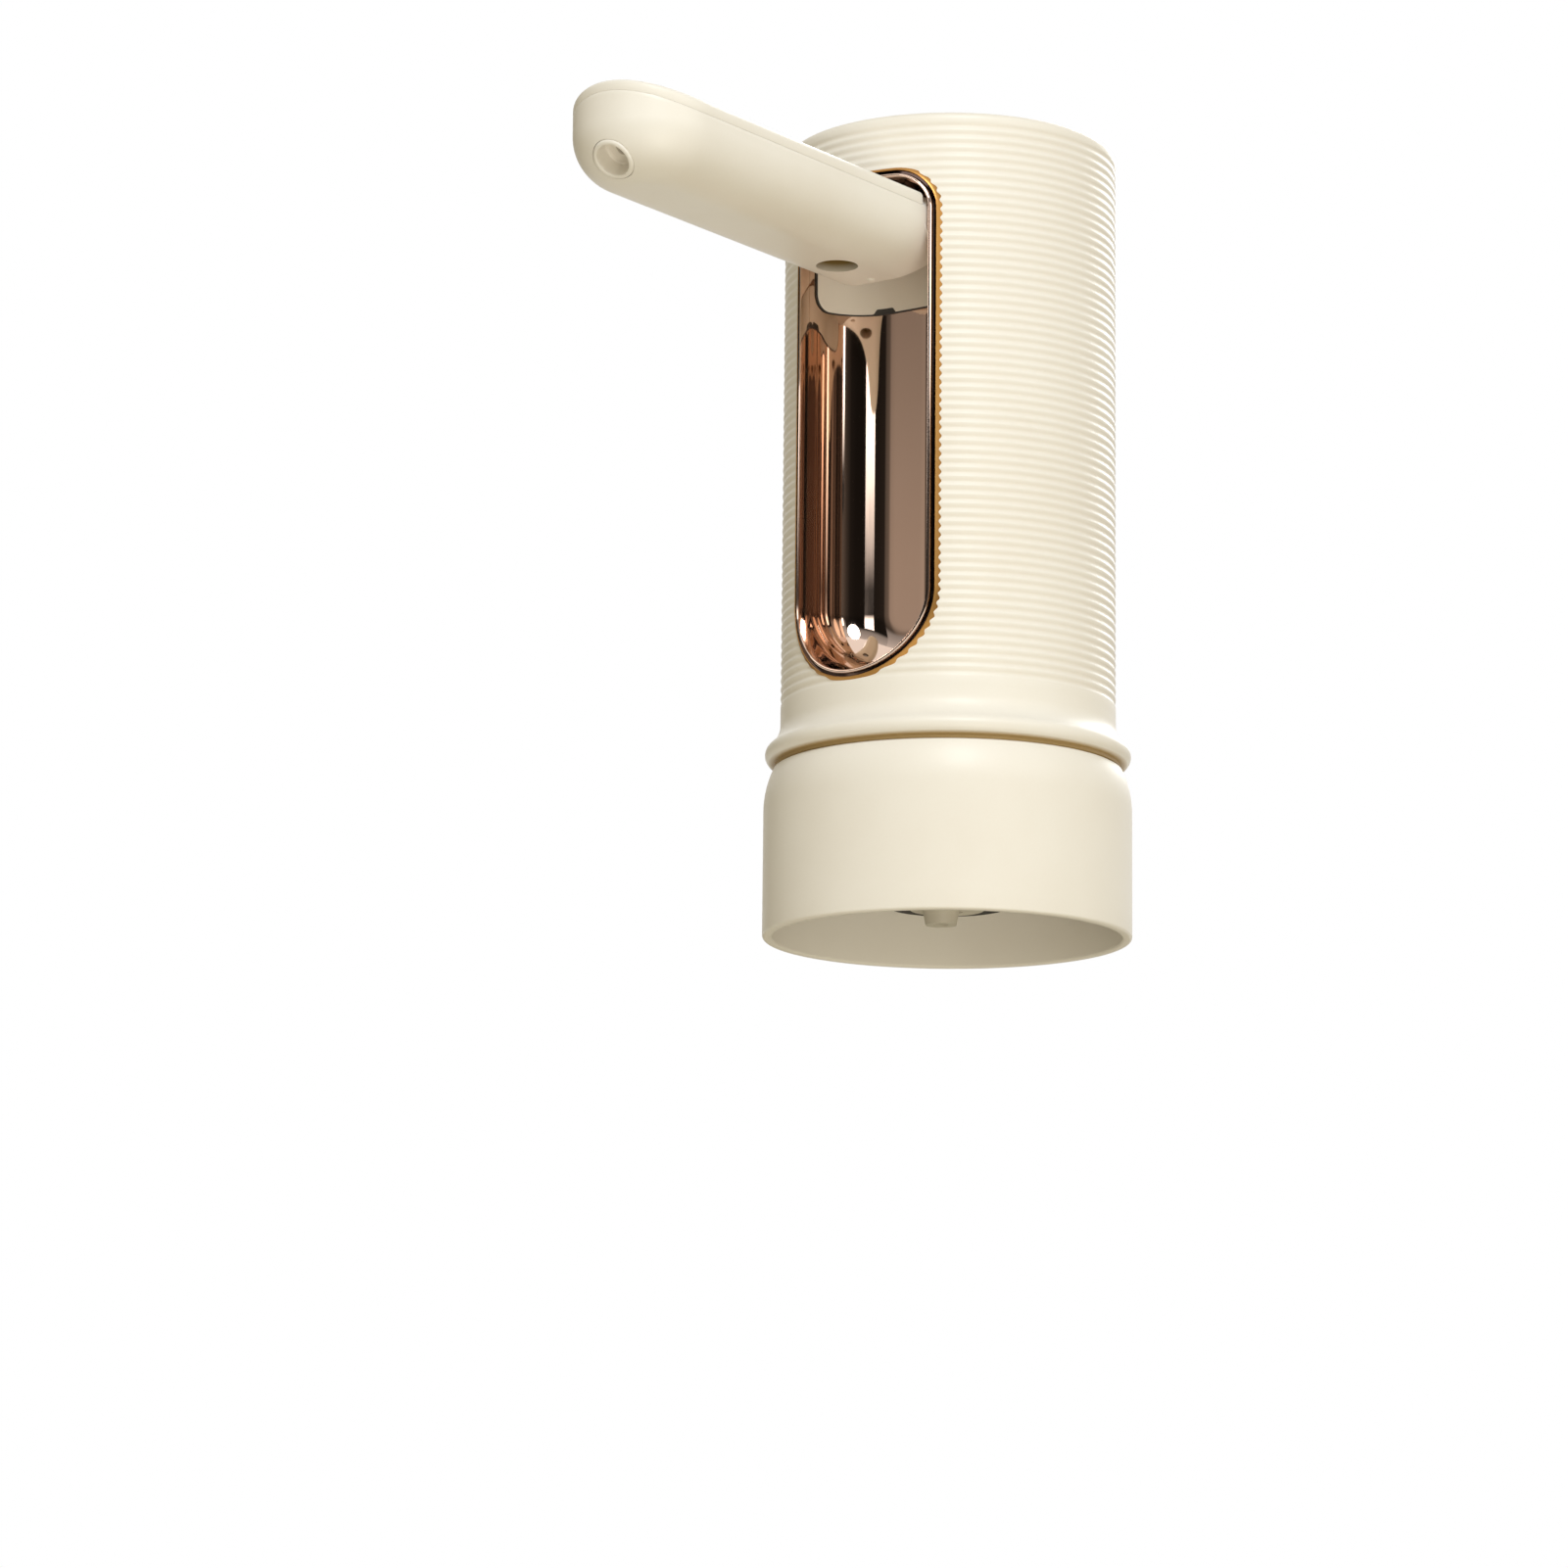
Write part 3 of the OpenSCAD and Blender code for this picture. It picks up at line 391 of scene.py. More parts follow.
def ended(wire, shape, material):
    """Ends a geometry tree with real meshes in one material."""
    shape = wire.node("GeometryNodeRealizeInstances", None, {"Geometry": shape})
    shape = wire.node("GeometryNodeSetMaterial", None, {"Geometry": shape, "Material": material})
    wire.node("NodeGroupOutput", None, {"Geometry": shape})


def grown(thing, tree, values):
    """Puts a geometry tree on a thing, sets its sizes and keeps the mesh that it makes."""
    added = thing.modifiers.new(tree.name, "NODES")
    added.node_group = tree
    for socket in tree.interface.items_tree:
        if socket.in_out == "INPUT" and socket.name in values:
            added[socket.identifier] = values[socket.name]
    return made_plain(thing)


sleeve_outline = [(sleeve_bore, sleeve_foot), (neck_r - 0.25, sleeve_foot), (neck_r, sleeve_foot + 0.2)]
sleeve_outline += arc((neck_r, bead_z), bead_r, -90, 53.8, 12)
sleeve_outline += arc((body_r + flare_r, flare_z), flare_r, 232, 180, 9) + [(body_r, band_top)]
for groove in range(groove_count - 1, -1, -1):
    z = first_groove - groove * rib_pitch
    sleeve_outline += [(body_r, z + (k / rib_steps - 0.5) * rib_pitch) for k in range(rib_steps)]
sleeve_outline += [(body_r, first_groove + 0.62)]
sleeve_outline += arc((body_r - top_round, sleeve_top - top_round), top_round, 0, 90, 6)
sleeve_outline += arc((sleeve_bore + bore_round, sleeve_top - bore_round), bore_round, 90, 180, 3)
ribbed_sleeve = turned("ribbed_sleeve", sleeve_outline)
window_tool = punch("window_tool", [(x, z) for x, z, nx, nz in window_edge(window_gap)], 0, -40)
slot_tool = punch("slot_tool", arc((slot_half, slot_z), slot_r, 90, -90, 12)
                  + arc((-slot_half, slot_z), slot_r, -90, -270, 12), 16, 40)

rib_tree, wire, given = tree_with("rib_cutter", {
    "Body Radius": "Float", "First Groove": "Float", "Rib Pitch": "Float", "Groove Depth": "Float",
    "Grooves": "Int", "Window": "Object", "Slot": "Object", "Material": "Material"})
x, y, z = wire.split(wire.node("GeometryNodeInputPosition"), 0, 1, 2)
radius = wire.maths("SQRT", x * x + y * y)
turns = (given["First Groove"] - z) / given["Rib Pitch"]
nearest = wire.maths("MAXIMUM", wire.maths("MINIMUM", wire.maths("ROUND", turns), given["Grooves"] - 1), 0.0)
away = wire.maths("MINIMUM", 2 * wire.maths("ABSOLUTE", turns - nearest), 1.0)
wave = 0.5 - 0.5 * wire.maths("COSINE", away * math.pi)
outer = wire.maths("GREATER_THAN", radius, given["Body Radius"] - 0.0001)
ribbed = wire.maths("GREATER_THAN", z, given["First Groove"] - (given["Grooves"] - 0.5) * given["Rib Pitch"])
drop = given["Groove Depth"] * (1 - wave) * outer * ribbed
inward = wire.node("ShaderNodeCombineXYZ", None, {0: x / radius * (0 - drop), 1: y / radius * (0 - drop)})
shape = wire.node("GeometryNodeSetPosition", None, {"Geometry": given["Geometry"], "Offset": inward})
for tool in ("Window", "Slot"):
    tool = wire.node("GeometryNodeObjectInfo", None, {"Object": given[tool]}, out="Geometry")
    shape = wire.node("GeometryNodeMeshBoolean", {"operation": "DIFFERENCE", "solver": "EXACT"},
                      {"Mesh 1": shape, "Mesh 2": tool})
ended(wire, shape, given["Material"])
# The ribbed cream carries painted shade in its rib grooves and a painted shadow line under the bead.
cream_ribbed = cream_plastic("cream_ribbed", grooves=0.12)
grown(ribbed_sleeve, rib_tree, {
    "Body Radius": body_r * mm, "First Groove": first_groove * mm, "Rib Pitch": rib_pitch * mm,
    "Groove Depth": groove_depth * mm, "Grooves": groove_count, "Window": window_tool, "Slot": slot_tool,
    "Material": cream_ribbed})
for tool in (window_tool, slot_tool):
    bpy.data.objects.remove(tool)
smooth(ribbed_sleeve, 50)
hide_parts("ribbed_shell")
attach(ribbed_sleeve, "housing")


# Skirt: a plain cream collar pressed up under the bead, open below, with a curved shoulder and a rounded rim.
# A web inside it takes three screws up into the housing.
skirt_r, skirt_wall, skirt_rim, rim_outside, rim_inside = 27.4, 1.5, -21.0, 0.45, 0.4
web_low, web_high, web_bore, web_flat, web_edge = 2.4, 4.4, 16.05, 21.0, 25.62
shoulder_r, shoulder_z, shoulder_in = 14.4, -2.0, 13.0
skirt_in = skirt_r - skirt_wall
shoulder_top = math.degrees(math.asin((web_high - shoulder_z - 0.2) / shoulder_r))
skirt_outline = [(web_bore, web_low), (web_bore, web_high), (web_flat, web_high), (web_edge, web_high)]
skirt_outline += arc((shoulder_in, shoulder_z), shoulder_r, shoulder_top, 0, 14)
skirt_outline += [(skirt_r, z) for z in (-6, -10, -14, -18)]
skirt_outline += arc((skirt_r - rim_outside, skirt_rim + rim_outside), rim_outside, 0, -90, 5)
skirt_outline += arc((skirt_in + rim_inside, skirt_rim + rim_inside), rim_inside, -90, -180, 5)
skirt_outline += [(skirt_in, z) for z in (-18, -14, -10, -6, -2)]
skirt_outline += arc((shoulder_in, shoulder_z), shoulder_r - skirt_wall, 2, 19.95, 6)
skirt_ring = turned("skirt_ring", skirt_outline)
cream_smooth = cream_plastic("cream_smooth")
skirt_ring.data.materials.append(cream_smooth)
smooth(skirt_ring)
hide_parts("skirt")
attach(skirt_ring, "housing")


# Screws: pan-headed steel screws with a cross recess, driven up through the skirt's web and, one more,
# into the spout's cover from the well in its underside.
head_r, head_h, head_round, shank_r, thread_deep, thread_turns = 2.2, 1.5, 0.6, 1.1, 0.22, 12
cross_half, cross_wide, cross_floor = 1.25, 0.27, -0.55
web_screw_r, web_screw_l, web_screw_turns = 19.6, 5.0, (60, 180, 300)
well_s, well_floor, cover_screw_l = 29.4, 81.4, 5.6


def steel(name, colour=(0.56, 0.56, 0.57), rough=0.26):
    material, wire = shaded(name)
    place = wire.place()
    turning = wire.noise(place, 900.0, 3.0)
    stain = wire.noise(place, 220.0, 4.0)
    tone = wire.blend(stain, [c * 0.82 for c in colour], [min(1, c * 1.12) for c in colour])
    wire.skin(tone, rough + turning * 0.16, Metallic=1.0, Normal=wire.bump(turning, 0.15, 0.01))
    return material


screw_steel = steel("screw_steel")
screw_tree, wire, given = tree_with("screw_rows", {"Screw": "Object", "Seed": "Int", "Material": "Material"})
screw = wire.node("GeometryNodeObjectInfo", None, {"Object": given["Screw"]}, out="Geometry")
spun = wire.node("FunctionNodeRandomValue", {"data_type": "FLOAT_VECTOR"}, {
    0: (0, 0, 0), 1: (0, 0, 1.5), "Seed": given["Seed"]})
shape = wire.node("GeometryNodeInstanceOnPoints", None, {
    "Points": given["Geometry"], "Instance": screw, "Rotation": spun})
ended(wire, shape, given["Material"])


def cut(thing, tools):
    """Takes each tool away from a thing, or joins it on, and then removes the tools."""
    for tool, operation in tools:
        added = thing.modifiers.new(tool.name, "BOOLEAN")
        added.operation, added.solver, added.object = operation, "EXACT", tool
    made_plain(thing)
    for tool, operation in tools:
        bpy.data.objects.remove(tool)


def screws(name, places, length, seed, node, body):
    outline = [(0.001, -head_h)] + arc((head_r - head_round, -head_h + head_round), head_round, -90, 0, 5)
    outline += [(head_r, -0.1), (head_r - 0.1, 0), (shank_r, 0)]
    for i in range(thread_turns):
        z = 0.4 + (length - 1.0) * i / thread_turns
        outline += [(shank_r, z), (shank_r - thread_deep, z + (length - 1.0) / thread_turns / 2)]
    outline += [(shank_r * 0.8, length - 0.5), (0.001, length)]
    one = turned("one_screw", outline, 40)
    cross = [punch("cross", [(-wide, -head_h - 1), (wide, -head_h - 1), (wide * 0.7, cross_floor),
                             (-wide * 0.7, cross_floor)], -deep, deep)
             for wide, deep in ((cross_half, cross_wide), (cross_wide, cross_half))]
    cut(one, [(tool, "DIFFERENCE") for tool in cross])
    row = from_faces(name, places, [])
    grown(row, screw_tree, {"Screw": one, "Seed": seed, "Material": screw_steel})
    bpy.data.objects.remove(one)
    smooth(row)
    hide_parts(node)
    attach(row, body)


web_places = [(web_screw_r * math.cos(a), web_screw_r * math.sin(a), web_low)
              for a in (math.radians(turn) for turn in web_screw_turns)]
screws("web_screws", web_places, web_screw_l, 3, "skirt_screws", "housing")
screws("cover_screw", [(0, -well_s, well_floor)], cover_screw_l, 8, "spout_screw", "spout")


# Window frame: a plated frame snapped into the sleeve's window. A bright lip stands round the opening,
# then a fine channel painted dark as shade, then a yellower bevel that runs down on to the ribs.
rose, rose_deep, gold, channel_shade_tone = (0.84, 0.635, 0.515), (0.60, 0.37, 0.24), (0.46, 0.225, 0.052), (0.035, 0.02, 0.018)
frame_outline = [(0.0, 23.45), (0.0, 25.18), (0.06, 25.35), (0.17, 25.44), (0.32, 25.45), (0.44, 25.39),
                 (0.50, 25.26), (0.53, 24.97), (0.58, 24.88), (0.92, 24.88), (0.98, 24.97), (1.02, 25.16),
                 (1.10, 25.23), (1.22, 25.20), (1.75, 24.70), (1.75, 24.45), (1.20, 24.40), (1.20, 23.45)]
frame_zones = {"channel": (7, 8, 9, 10), "bevel": (11, 12, 13, 14)}
# The channel's painted shade is set weaker in the bowl, below bowl_z.
zone_full, bowl_full, bowl_z = 0.96, 0.7, 26


def rose_chrome(name, rough, zones=False):
    """Polished rose-gold plating with faint hazing and wiping marks. A frame's zones are yellower on its bevel
    and carry painted shade down in its channel."""
    material, wire = shaded(name)
    place = wire.place()
    haze = wire.noise(place, 55.0, 4.0)
    stretch = wire.node("ShaderNodeMapping", None, {"Vector": place, "Scale": (900.0, 900.0, 60.0)})
    wiped = wire.noise(stretch, 1.0, 3.0)
    tone = wire.blend(haze * 0.25, rose, rose_deep)
    finish = rough + wiped * haze * 0.06
    if zones:
        bevel, channel = (wire.node("ShaderNodeAttribute", {"attribute_name": zone}, out="Fac")
                          for zone in ("bevel", "channel"))
        # The channel is painted dark with shade.
        tone = wire.blend(channel, wire.blend(bevel, tone, gold), channel_shade_tone)
        finish = finish + bevel * 0.3
    wire.skin(tone, finish, Metallic=1.0, Normal=wire.bump(wiped, 0.02, 0.01))
    return material


def on_round(x, z, radius):
    """A point seen at x and z from the front, put on a cylinder about the part's axis."""
    return (x, -math.sqrt(radius * radius - x * x), z)


rows = [[on_round(x + nx * out, z + nz * out, radius) for out, radius in frame_outline]
        for x, z, nx, nz in window_edge(0, 1.5)]
window_frame = from_rows("window_frame", rows + rows[:1], around=True)
for zone, lines in frame_zones.items():
    marked = window_frame.data.attributes.new(zone, "FLOAT", "FACE")
    for face in window_frame.data.polygons:
        full = zone_full if zone == "bevel" or face.center.z > bowl_z * mm else bowl_full
        marked.data[face.index].value = full if face.index % len(frame_outline) in lines else 0.0
window_frame.data.materials.append(rose_chrome("frame_plating", 0.07, zones=True))
smooth(window_frame, 40)
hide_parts("window_bezel")
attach(window_frame, "housing")


# Spout bay: a deep-drawn mirror trough behind the window, shaped to the folded spout with a small gap,
# with rounded back corners and a bowl-shaped lower end.
bay_round, bay_back, bay_wall = 8.45, 10.9, 1.0
bay_flat, bay_deep = window_half - bay_round, bay_back + bay_round
bay_straight = window_high - window_low - window_corner
bay_section = [(window_half, "front", t) for t in (0.0, 0.25, 0.5, 0.75)]
bay_section += [(x, "at", s) for x, s in arc((bay_flat, bay_deep), bay_round, 0, -90, 20)]
bay_section += [(x, "at", bay_back) for x in (2.2, 1.4, 0.7, 0.0)]


def bay_point(reach, kind, value, across, down, lean):
    """A point of the trough: reach out from its middle line, turned by lean in the bowl."""
    x = reach * across
    z = window_low + down - reach * lean
    limit = window_half
    rise = z - window_high + window_corner
    if rise > 0:
        limit = window_half - window_corner + math.sqrt(max(0, window_corner ** 2 - rise ** 2))
    x = max(-limit, min(limit, x))
    front = math.sqrt(sleeve_bore ** 2 - x * x)
    s = front + (bay_deep - front) * value if kind == "front" else min(value, front)
    return (x, -s, z)


steps_up = [bay_straight + window_corner * math.cos(math.radians(a))
            for a in (0, 8, 18, 28, 38, 48, 58, 68, 78, 90)]
steps_up += [bay_straight * (1 - i / 16) for i in range(1, 17)]
rows = [[bay_point(*p, 1, down, 0) for p in bay_section] for down in steps_up]
rows += [[bay_point(*p, math.cos(a), 0, math.sin(a)) for p in bay_section]
         for a in (math.pi * i / 48 for i in range(1, 48))]
rows += [[bay_point(*p, -1, down, 0) for p in bay_section] for down in reversed(steps_up)]
wide, last = len(bay_section), (len(rows) - 1) * len(bay_section)
top_face = tuple(range(wide)) + tuple(last + j for j in range(wide - 2, -1, -1))
bay_trough = from_rows("bay_trough", rows, caps=[top_face])
thick = bay_trough.modifiers.new("wall", "SOLIDIFY")
thick.thickness, thick.offset = bay_wall * mm, 1
made_plain(bay_trough)
bay_trough.data.materials.clear()
bay_trough.data.materials.append(rose_chrome("bay_plating", 0.035))
smooth(bay_trough, 40)
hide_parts("spout_bay")
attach(bay_trough, "housing")


# Hinge lining: a thin cream plate on the bay's back and corners, just below where the spout turns.
# Its lower corners are round. A thin dark silicone strip round its edge, filling a small notch in its foot, is
# painted shadow: it stands for the shadow gap under the lining and the shade in the notch.
lining_low, lining_high, lining_gap, lining_t, lining_corner, lining_edge = 73.0, 79.4, 0.05, 0.3, 2.6, 0.08
notch_u, notch_half, notch_slope, notch_h = -4.1, 1.9, 0.5, 0.75
shade_strip_w, shade_strip_in, shade_strip_out, shade_strip_far = 0.13, 0.06, 0.3, 0.24
lining_half = bay_flat + bay_round * math.radians(86)


def silicone(name, colour=(0.028, 0.027, 0.026)):
    material, wire = shaded(name)
    place = wire.place()
    bloom = wire.noise(place, 120.0, 5.0)
    grain = wire.noise(place, 3000.0, 2.0)
    tone = wire.blend(bloom, colour, [c * 2.4 for c in colour])
    wire.skin(tone, 0.5 + bloom * 0.25, Normal=wire.bump(grain, 0.2, 0.02), IOR=1.42)
    return material


def on_wall(u, z, off):
    """A point of the bay's wall, u along it from its middle and off it by a little."""
    r = bay_round - off
    t = max(0.0, abs(u) - bay_flat) / bay_round
    x = min(abs(u), bay_flat) + r * math.sin(t)
    return (math.copysign(x, u), -bay_deep + r * math.cos(t), z)


def lining_foot(u, notched):
    """How far up the lining's lower edge is at u."""
    inset = lining_corner - min(lining_corner, lining_half - abs(u))
    notch = notch_h * max(0, min(1, (notch_half - abs(u - notch_u)) / notch_slope)) if notched else 0
    return lining_low + lining_corner - math.sqrt(lining_corner ** 2 - inset ** 2) + notch


def both_ends(rows):
    """The end faces of a run of closed rows."""
    wide = len(rows[0])
    return [tuple(range(wide)), tuple((len(rows) - 1) * wide + j for j in range(wide))]


ends = [lining_half - lining_corner * (1 - math.cos(math.pi / 2 * i / 10)) for i in range(11)]
steps = [-u for u in ends] + sorted(ends[-1] * (1 - i / 60) for i in range(1, 120)) + list(reversed(ends))
rows = []
for u in steps:
    low, front = lining_foot(u, True), lining_gap + lining_t
    outline = [(lining_gap, low), (lining_gap, lining_high), (front - lining_edge, lining_high),
               (front, lining_high - lining_edge), (front, low + lining_edge), (front - lining_edge, low)]
    rows.append([on_wall(u, z, off) for off, z in outline])
hinge_lining = from_rows("hinge_lining", rows, around=True, caps=both_ends(rows))
hinge_lining.data.materials.append(cream_smooth)
smooth(hinge_lining, 40)
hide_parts("hinge_seat")
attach(hinge_lining, "housing")

# The dark strip below is painted shadow: it follows the lining's edge and fills its notch.
shade_strip_top = lining_high - 0.1
edge = [(-lining_half, shade_strip_top, shade_strip_top)]
edge += [(u, lining_foot(u, True), lining_foot(u, False)) for u in steps] + [(lining_half, shade_strip_top, shade_strip_top)]
rows = []
for i, (u, z, base_z) in enumerate(edge):
    before, after = edge[max(0, i - 1)], edge[min(len(edge) - 1, i + 1)]
    run = Vector((after[0] - before[0], after[2] - before[2])).normalized()
    far_u, far_z = u + run.y * shade_strip_w, base_z - run.x * shade_strip_w
    rows.append([on_wall(u, z, shade_strip_in), on_wall(u, z, shade_strip_out), on_wall(far_u, far_z, shade_strip_far),
                 on_wall(far_u, far_z, shade_strip_in)])
lining_seal = from_rows("lining_seal", rows, around=True, caps=both_ends(rows))
dark_silicone = silicone("dark_silicone")
lining_seal.data.materials.append(dark_silicone)
smooth(lining_seal, 40)
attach(lining_seal, "housing")


# Spout, lower half: a cream moulding with soft lower edges and a round nose. Its root turns on the axle in the
# bay, a screw's well opens in its underside, and a tiny gate mark stands behind the well.
spout_half, nose_r, under_z, tip_s, heel_s, pivot_s, pivot_z = 10.75, 7.75, 75.4, 75.25, 16.6, 19.2, 83.0
crown_axis, crown_r, cover_t, lid_gap = 63.8, 25.0, 1.6, 0.01
barrel_half, barrel_r, barrel_crown = 10.65, 5.5, 25
well_r, well_shade_rise, nozzle_angle, nozzle_hole_r, nozzle_hole_deep = 3.1, 1.3, math.radians(46), 3.25, 4.6
gate_s, gate_r, gate_h = 20.7, 0.6, 0.3
spout_flat = spout_half - nose_r


def crown(x, inset):
    return crown_axis + math.sqrt((crown_r - inset) ** 2 - x * x)


def spout_solid(name, root_s, lower, upper):
    """A closed form along the spout: rows of reach and height from the middle of the underside to the top."""
    def ring(across, along, base):
        row = [(reach * across, -base - reach * along, height) for reach, height in lower]
        return row + [(reach * across, -base - reach * along, crown(reach * across, inset) - drop)
                      for reach, inset, drop in upper]
    stations = [root_s + (tip_s - root_s) * i / 28 for i in range(29)]
    rows = [ring(1, 0, s) for s in stations]
    rows += [ring(math.cos(a), math.sin(a), tip_s) for a in (math.pi * i / 64 for i in range(1, 64))]
    rows += [ring(-1, 0, s) for s in reversed(stations)]
    wide, last = len(rows[0]), (len(rows) - 1) * len(rows[0])
    root_face = tuple(range(wide)) + tuple(last + j for j in range(wide - 2, 0, -1))
    return from_rows(name, rows, caps=[root_face])


def rod(name, start, direction, radius, length, steps=64):
    """A tool solid: a round rod from a point."""
    direction = Vector(direction).normalized()
    side = direction.orthogonal().normalized()
    up = direction.cross(side)
    rows = []
    for i in range(steps + 1):
        a = 2 * math.pi * i / steps
        spoke = side * math.cos(a) + up * math.sin(a)
        rows.append([Vector(start) + direction * d + spoke * r
                     for r, d in ((0, 0), (radius, 0), (radius, length), (0, length))])
    return from_rows(name, rows)


lower_edge = [(0, under_z), (1.5, under_z), (spout_flat, under_z)]
lower_edge += arc((spout_flat, under_z + nose_r), nose_r, -86, 0, 22)
upper_edge = [(spout_half, cover_t, 0.55), (spout_half, cover_t, 0.05), (spout_half - 0.015, cover_t, 0.015),
              (spout_half - 0.05, cover_t, 0.0)]
upper_edge += [(reach, cover_t, 0) for reach in (9.0, 7.0, 4.5, 2.0, 0)]
lower_half = spout_solid("lower_half", heel_s, lower_edge, upper_edge)
rows = []
for i in range(73):
    a = 2 * math.pi * i / 72
    row = [(-barrel_half, -pivot_s, pivot_z)]
    for k in range(-6, 7):
        x = barrel_half * k / 6
        r = barrel_r - barrel_crown + math.sqrt(barrel_crown ** 2 - x * x)
        row.append((x, -pivot_s + r * math.cos(a), pivot_z + r * math.sin(a)))
    rows.append(row + [(barrel_half, -pivot_s, pivot_z)])
root_barrel = from_rows("root_barrel", rows)
nozzle_axis = Vector((0, -math.cos(nozzle_angle), -math.sin(nozzle_angle)))
nozzle_at = Vector((0, -tip_s - spout_flat, under_z + nose_r)) + nozzle_axis * nose_r
well = rod("well", (0, -well_s, under_z - 3), (0, 0, 1), well_r, well_floor - under_z + 3)
mouth = rod("mouth", nozzle_at - nozzle_axis * nozzle_hole_deep, nozzle_axis, nozzle_hole_r, 9)
above = punch("above", [(-pivot_s, pivot_z), (-10, pivot_z), (-10, 100), (-pivot_s, 100)], -14, 14, "x")
behind = punch("behind", [(-20.2, 74.4), (-20.2, 70), (-15, 70), (-15, 79.6)], -14, 14, "x")
cut(lower_half, ((above, "DIFFERENCE"), (behind, "DIFFERENCE"), (root_barrel, "UNION"), (well, "DIFFERENCE"),
                 (mouth, "DIFFERENCE")))
lower_half.data.materials.clear()
lower_half.data.materials.append(cream_smooth)
# The well's wall takes painted shade, darker the higher up the well.
lower_half.data.materials.append(cream_plastic("cream_well_painted_shade", hole=(under_z, under_z + well_shade_rise), gloss=0.08))
for face in lower_half.data.polygons:
    spot = face.center / mm
    in_well = math.hypot(spot.x, spot.y + well_s) < well_r + 0.02 and under_z + 0.1 < spot.z < well_floor + 0.6
    face.material_index = 1 if in_well else 0
smooth(lower_half, 30)
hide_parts("spout_shell")
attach(lower_half, "spout")

rows = [[(gate_r * math.cos(p) * math.cos(t), -gate_s + gate_r * math.cos(p) * math.sin(t),
          under_z - gate_h * math.sin(p)) for p in (math.pi / 2 * k / 5 for k in range(-3, 6))]
        for t in (2 * math.pi * i / 24 for i in range(25))]
gate_mark = from_rows("gate_mark", rows)
gate_mark.data.materials.append(cream_smooth)
smooth(gate_mark)
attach(gate_mark, "spout")


# Spout, upper half: a crowned cream lid with the body's own curve, so that the folded spout lies flush.
# It closes on the lower half with a fine shadow line and a soft upper edge.
lid_s, lid_round, lid_under = 22.9, 0.55, cover_t - lid_gap
lid_edge = [(reach, lid_under, 0) for reach in (0, 2, 4.5, 7, 9)]
lid_edge += [(spout_half - 0.05, lid_under, 0.0), (spout_half - 0.015, lid_under, -0.015),
             (spout_half, lid_under, -0.05)]
lid_edge += [(spout_half - lid_round * (1 - math.cos(a)), 0, lid_round * (1 - math.sin(a)))
             for a in (math.pi / 2 * i / 6 for i in range(7))]
lid_edge += [(reach, 0, 0) for reach in (9.2, 8, 6.5, 5, 3.5, 2, 1, 0)]
lid = spout_solid("spout_lid", lid_s, [], lid_edge)
lid.data.materials.append(cream_smooth)
smooth(lid, 35)
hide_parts("spout_cover")
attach(lid, "spout")


# Pour nozzle: a ring let into the nose, a hair proud of it, with a wide mouth and a small bore behind.
# Its outer face follows the nose's own curve.
ring_r, mouth_r, bore_r, nozzle_deep, nozzle_back = 3.2, 2.5, 1.0, 3.5, 4.4
nozzle_side = Vector((1, 0, 0))
nozzle_up = nozzle_axis.cross(nozzle_side)
nozzle_outline = [(ring_r, "deep", -nozzle_back), (ring_r, "face", -0.18), (ring_r - 0.05, "face", 0.03),
                  (ring_r - 0.18, "face", 0.12), (ring_r - 0.34, "face", 0.15), (mouth_r + 0.16, "face", 0.14),
                  (mouth_r + 0.04, "face", 0.06), (mouth_r, "face", -0.12), (mouth_r, "deep", -nozzle_deep + 0.3),
                  (mouth_r - 0.3, "deep", -nozzle_deep), (bore_r, "deep", -nozzle_deep),
                  (bore_r, "deep", -nozzle_back)]


def on_nose(across, up, proud):
    """Where a line along the nozzle's axis leaves the nose, grown by proud."""
    low, high = -5.0, 3.0
    for _ in range(40):
        middle = (low + high) / 2
        p = nozzle_at + nozzle_side * across + nozzle_up * up + nozzle_axis * middle
        out = max(0.0, math.hypot(p.x, p.y + tip_s) - spout_flat)
        inside = math.hypot(out, p.z - under_z - nose_r) < nose_r + proud
        low, high = (middle, high) if inside else (low, middle)
    return low


rows = []
for i in range(65):
    c, s = math.cos(2 * math.pi * i / 64), math.sin(2 * math.pi * i / 64)
    row = []
    for r, kind, d in nozzle_outline:
        depth = d if kind == "deep" else on_nose(r * c, r * s, d)
        row.append(nozzle_at + nozzle_side * r * c + nozzle_up * r * s + nozzle_axis * depth)
    rows.append(row)
nozzle_ring = from_rows("nozzle_ring", rows, around=True)
nozzle_ring.data.materials.append(cream_smooth)
smooth(nozzle_ring, 40)
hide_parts("pour_nozzle")
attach(nozzle_ring, "spout")


# Top: a cream disc sunk a little in the sleeve's rim, a milky light ring, and a dished push button
# with a turned rose-gold face.
cap_top, cap_low, cap_r, cap_in, cap_round = 98.6, 96.9, 23.35, 21.6, 0.3
halo_in, halo_out, halo_round, halo_foot = 8.45, 10.05, 0.2, 0.6
button_r, button_top, button_low, button_lip, button_round = 8.2, 98.9, 95.4, 9.85, 0.55
button_wall, button_floor, dish_r, dish_deep = 1.2, 97.5, 6.9, 0.45
cap_outline = [(cap_r, cap_low - 1), (cap_r, cap_top - cap_round)]
cap_outline += arc((cap_r - cap_round, cap_top - cap_round), cap_round, 0, 90, 4)
cap_outline += [(r, cap_top) for r in (21, 18, 15, 12)]
cap_outline += arc((halo_out + 0.3, cap_top - 0.25), 0.25, 90, 180, 4)
cap_outline += [(halo_out + 0.05, cap_low), (cap_in, cap_low), (cap_in, cap_low - 1)]
top_disc = turned("top_disc", cap_outline)
top_disc.data.materials.append(cream_plastic("cream_disc", gloss=0.1))
smooth(top_disc)
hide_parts("top_cap")
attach(top_disc, "housing")

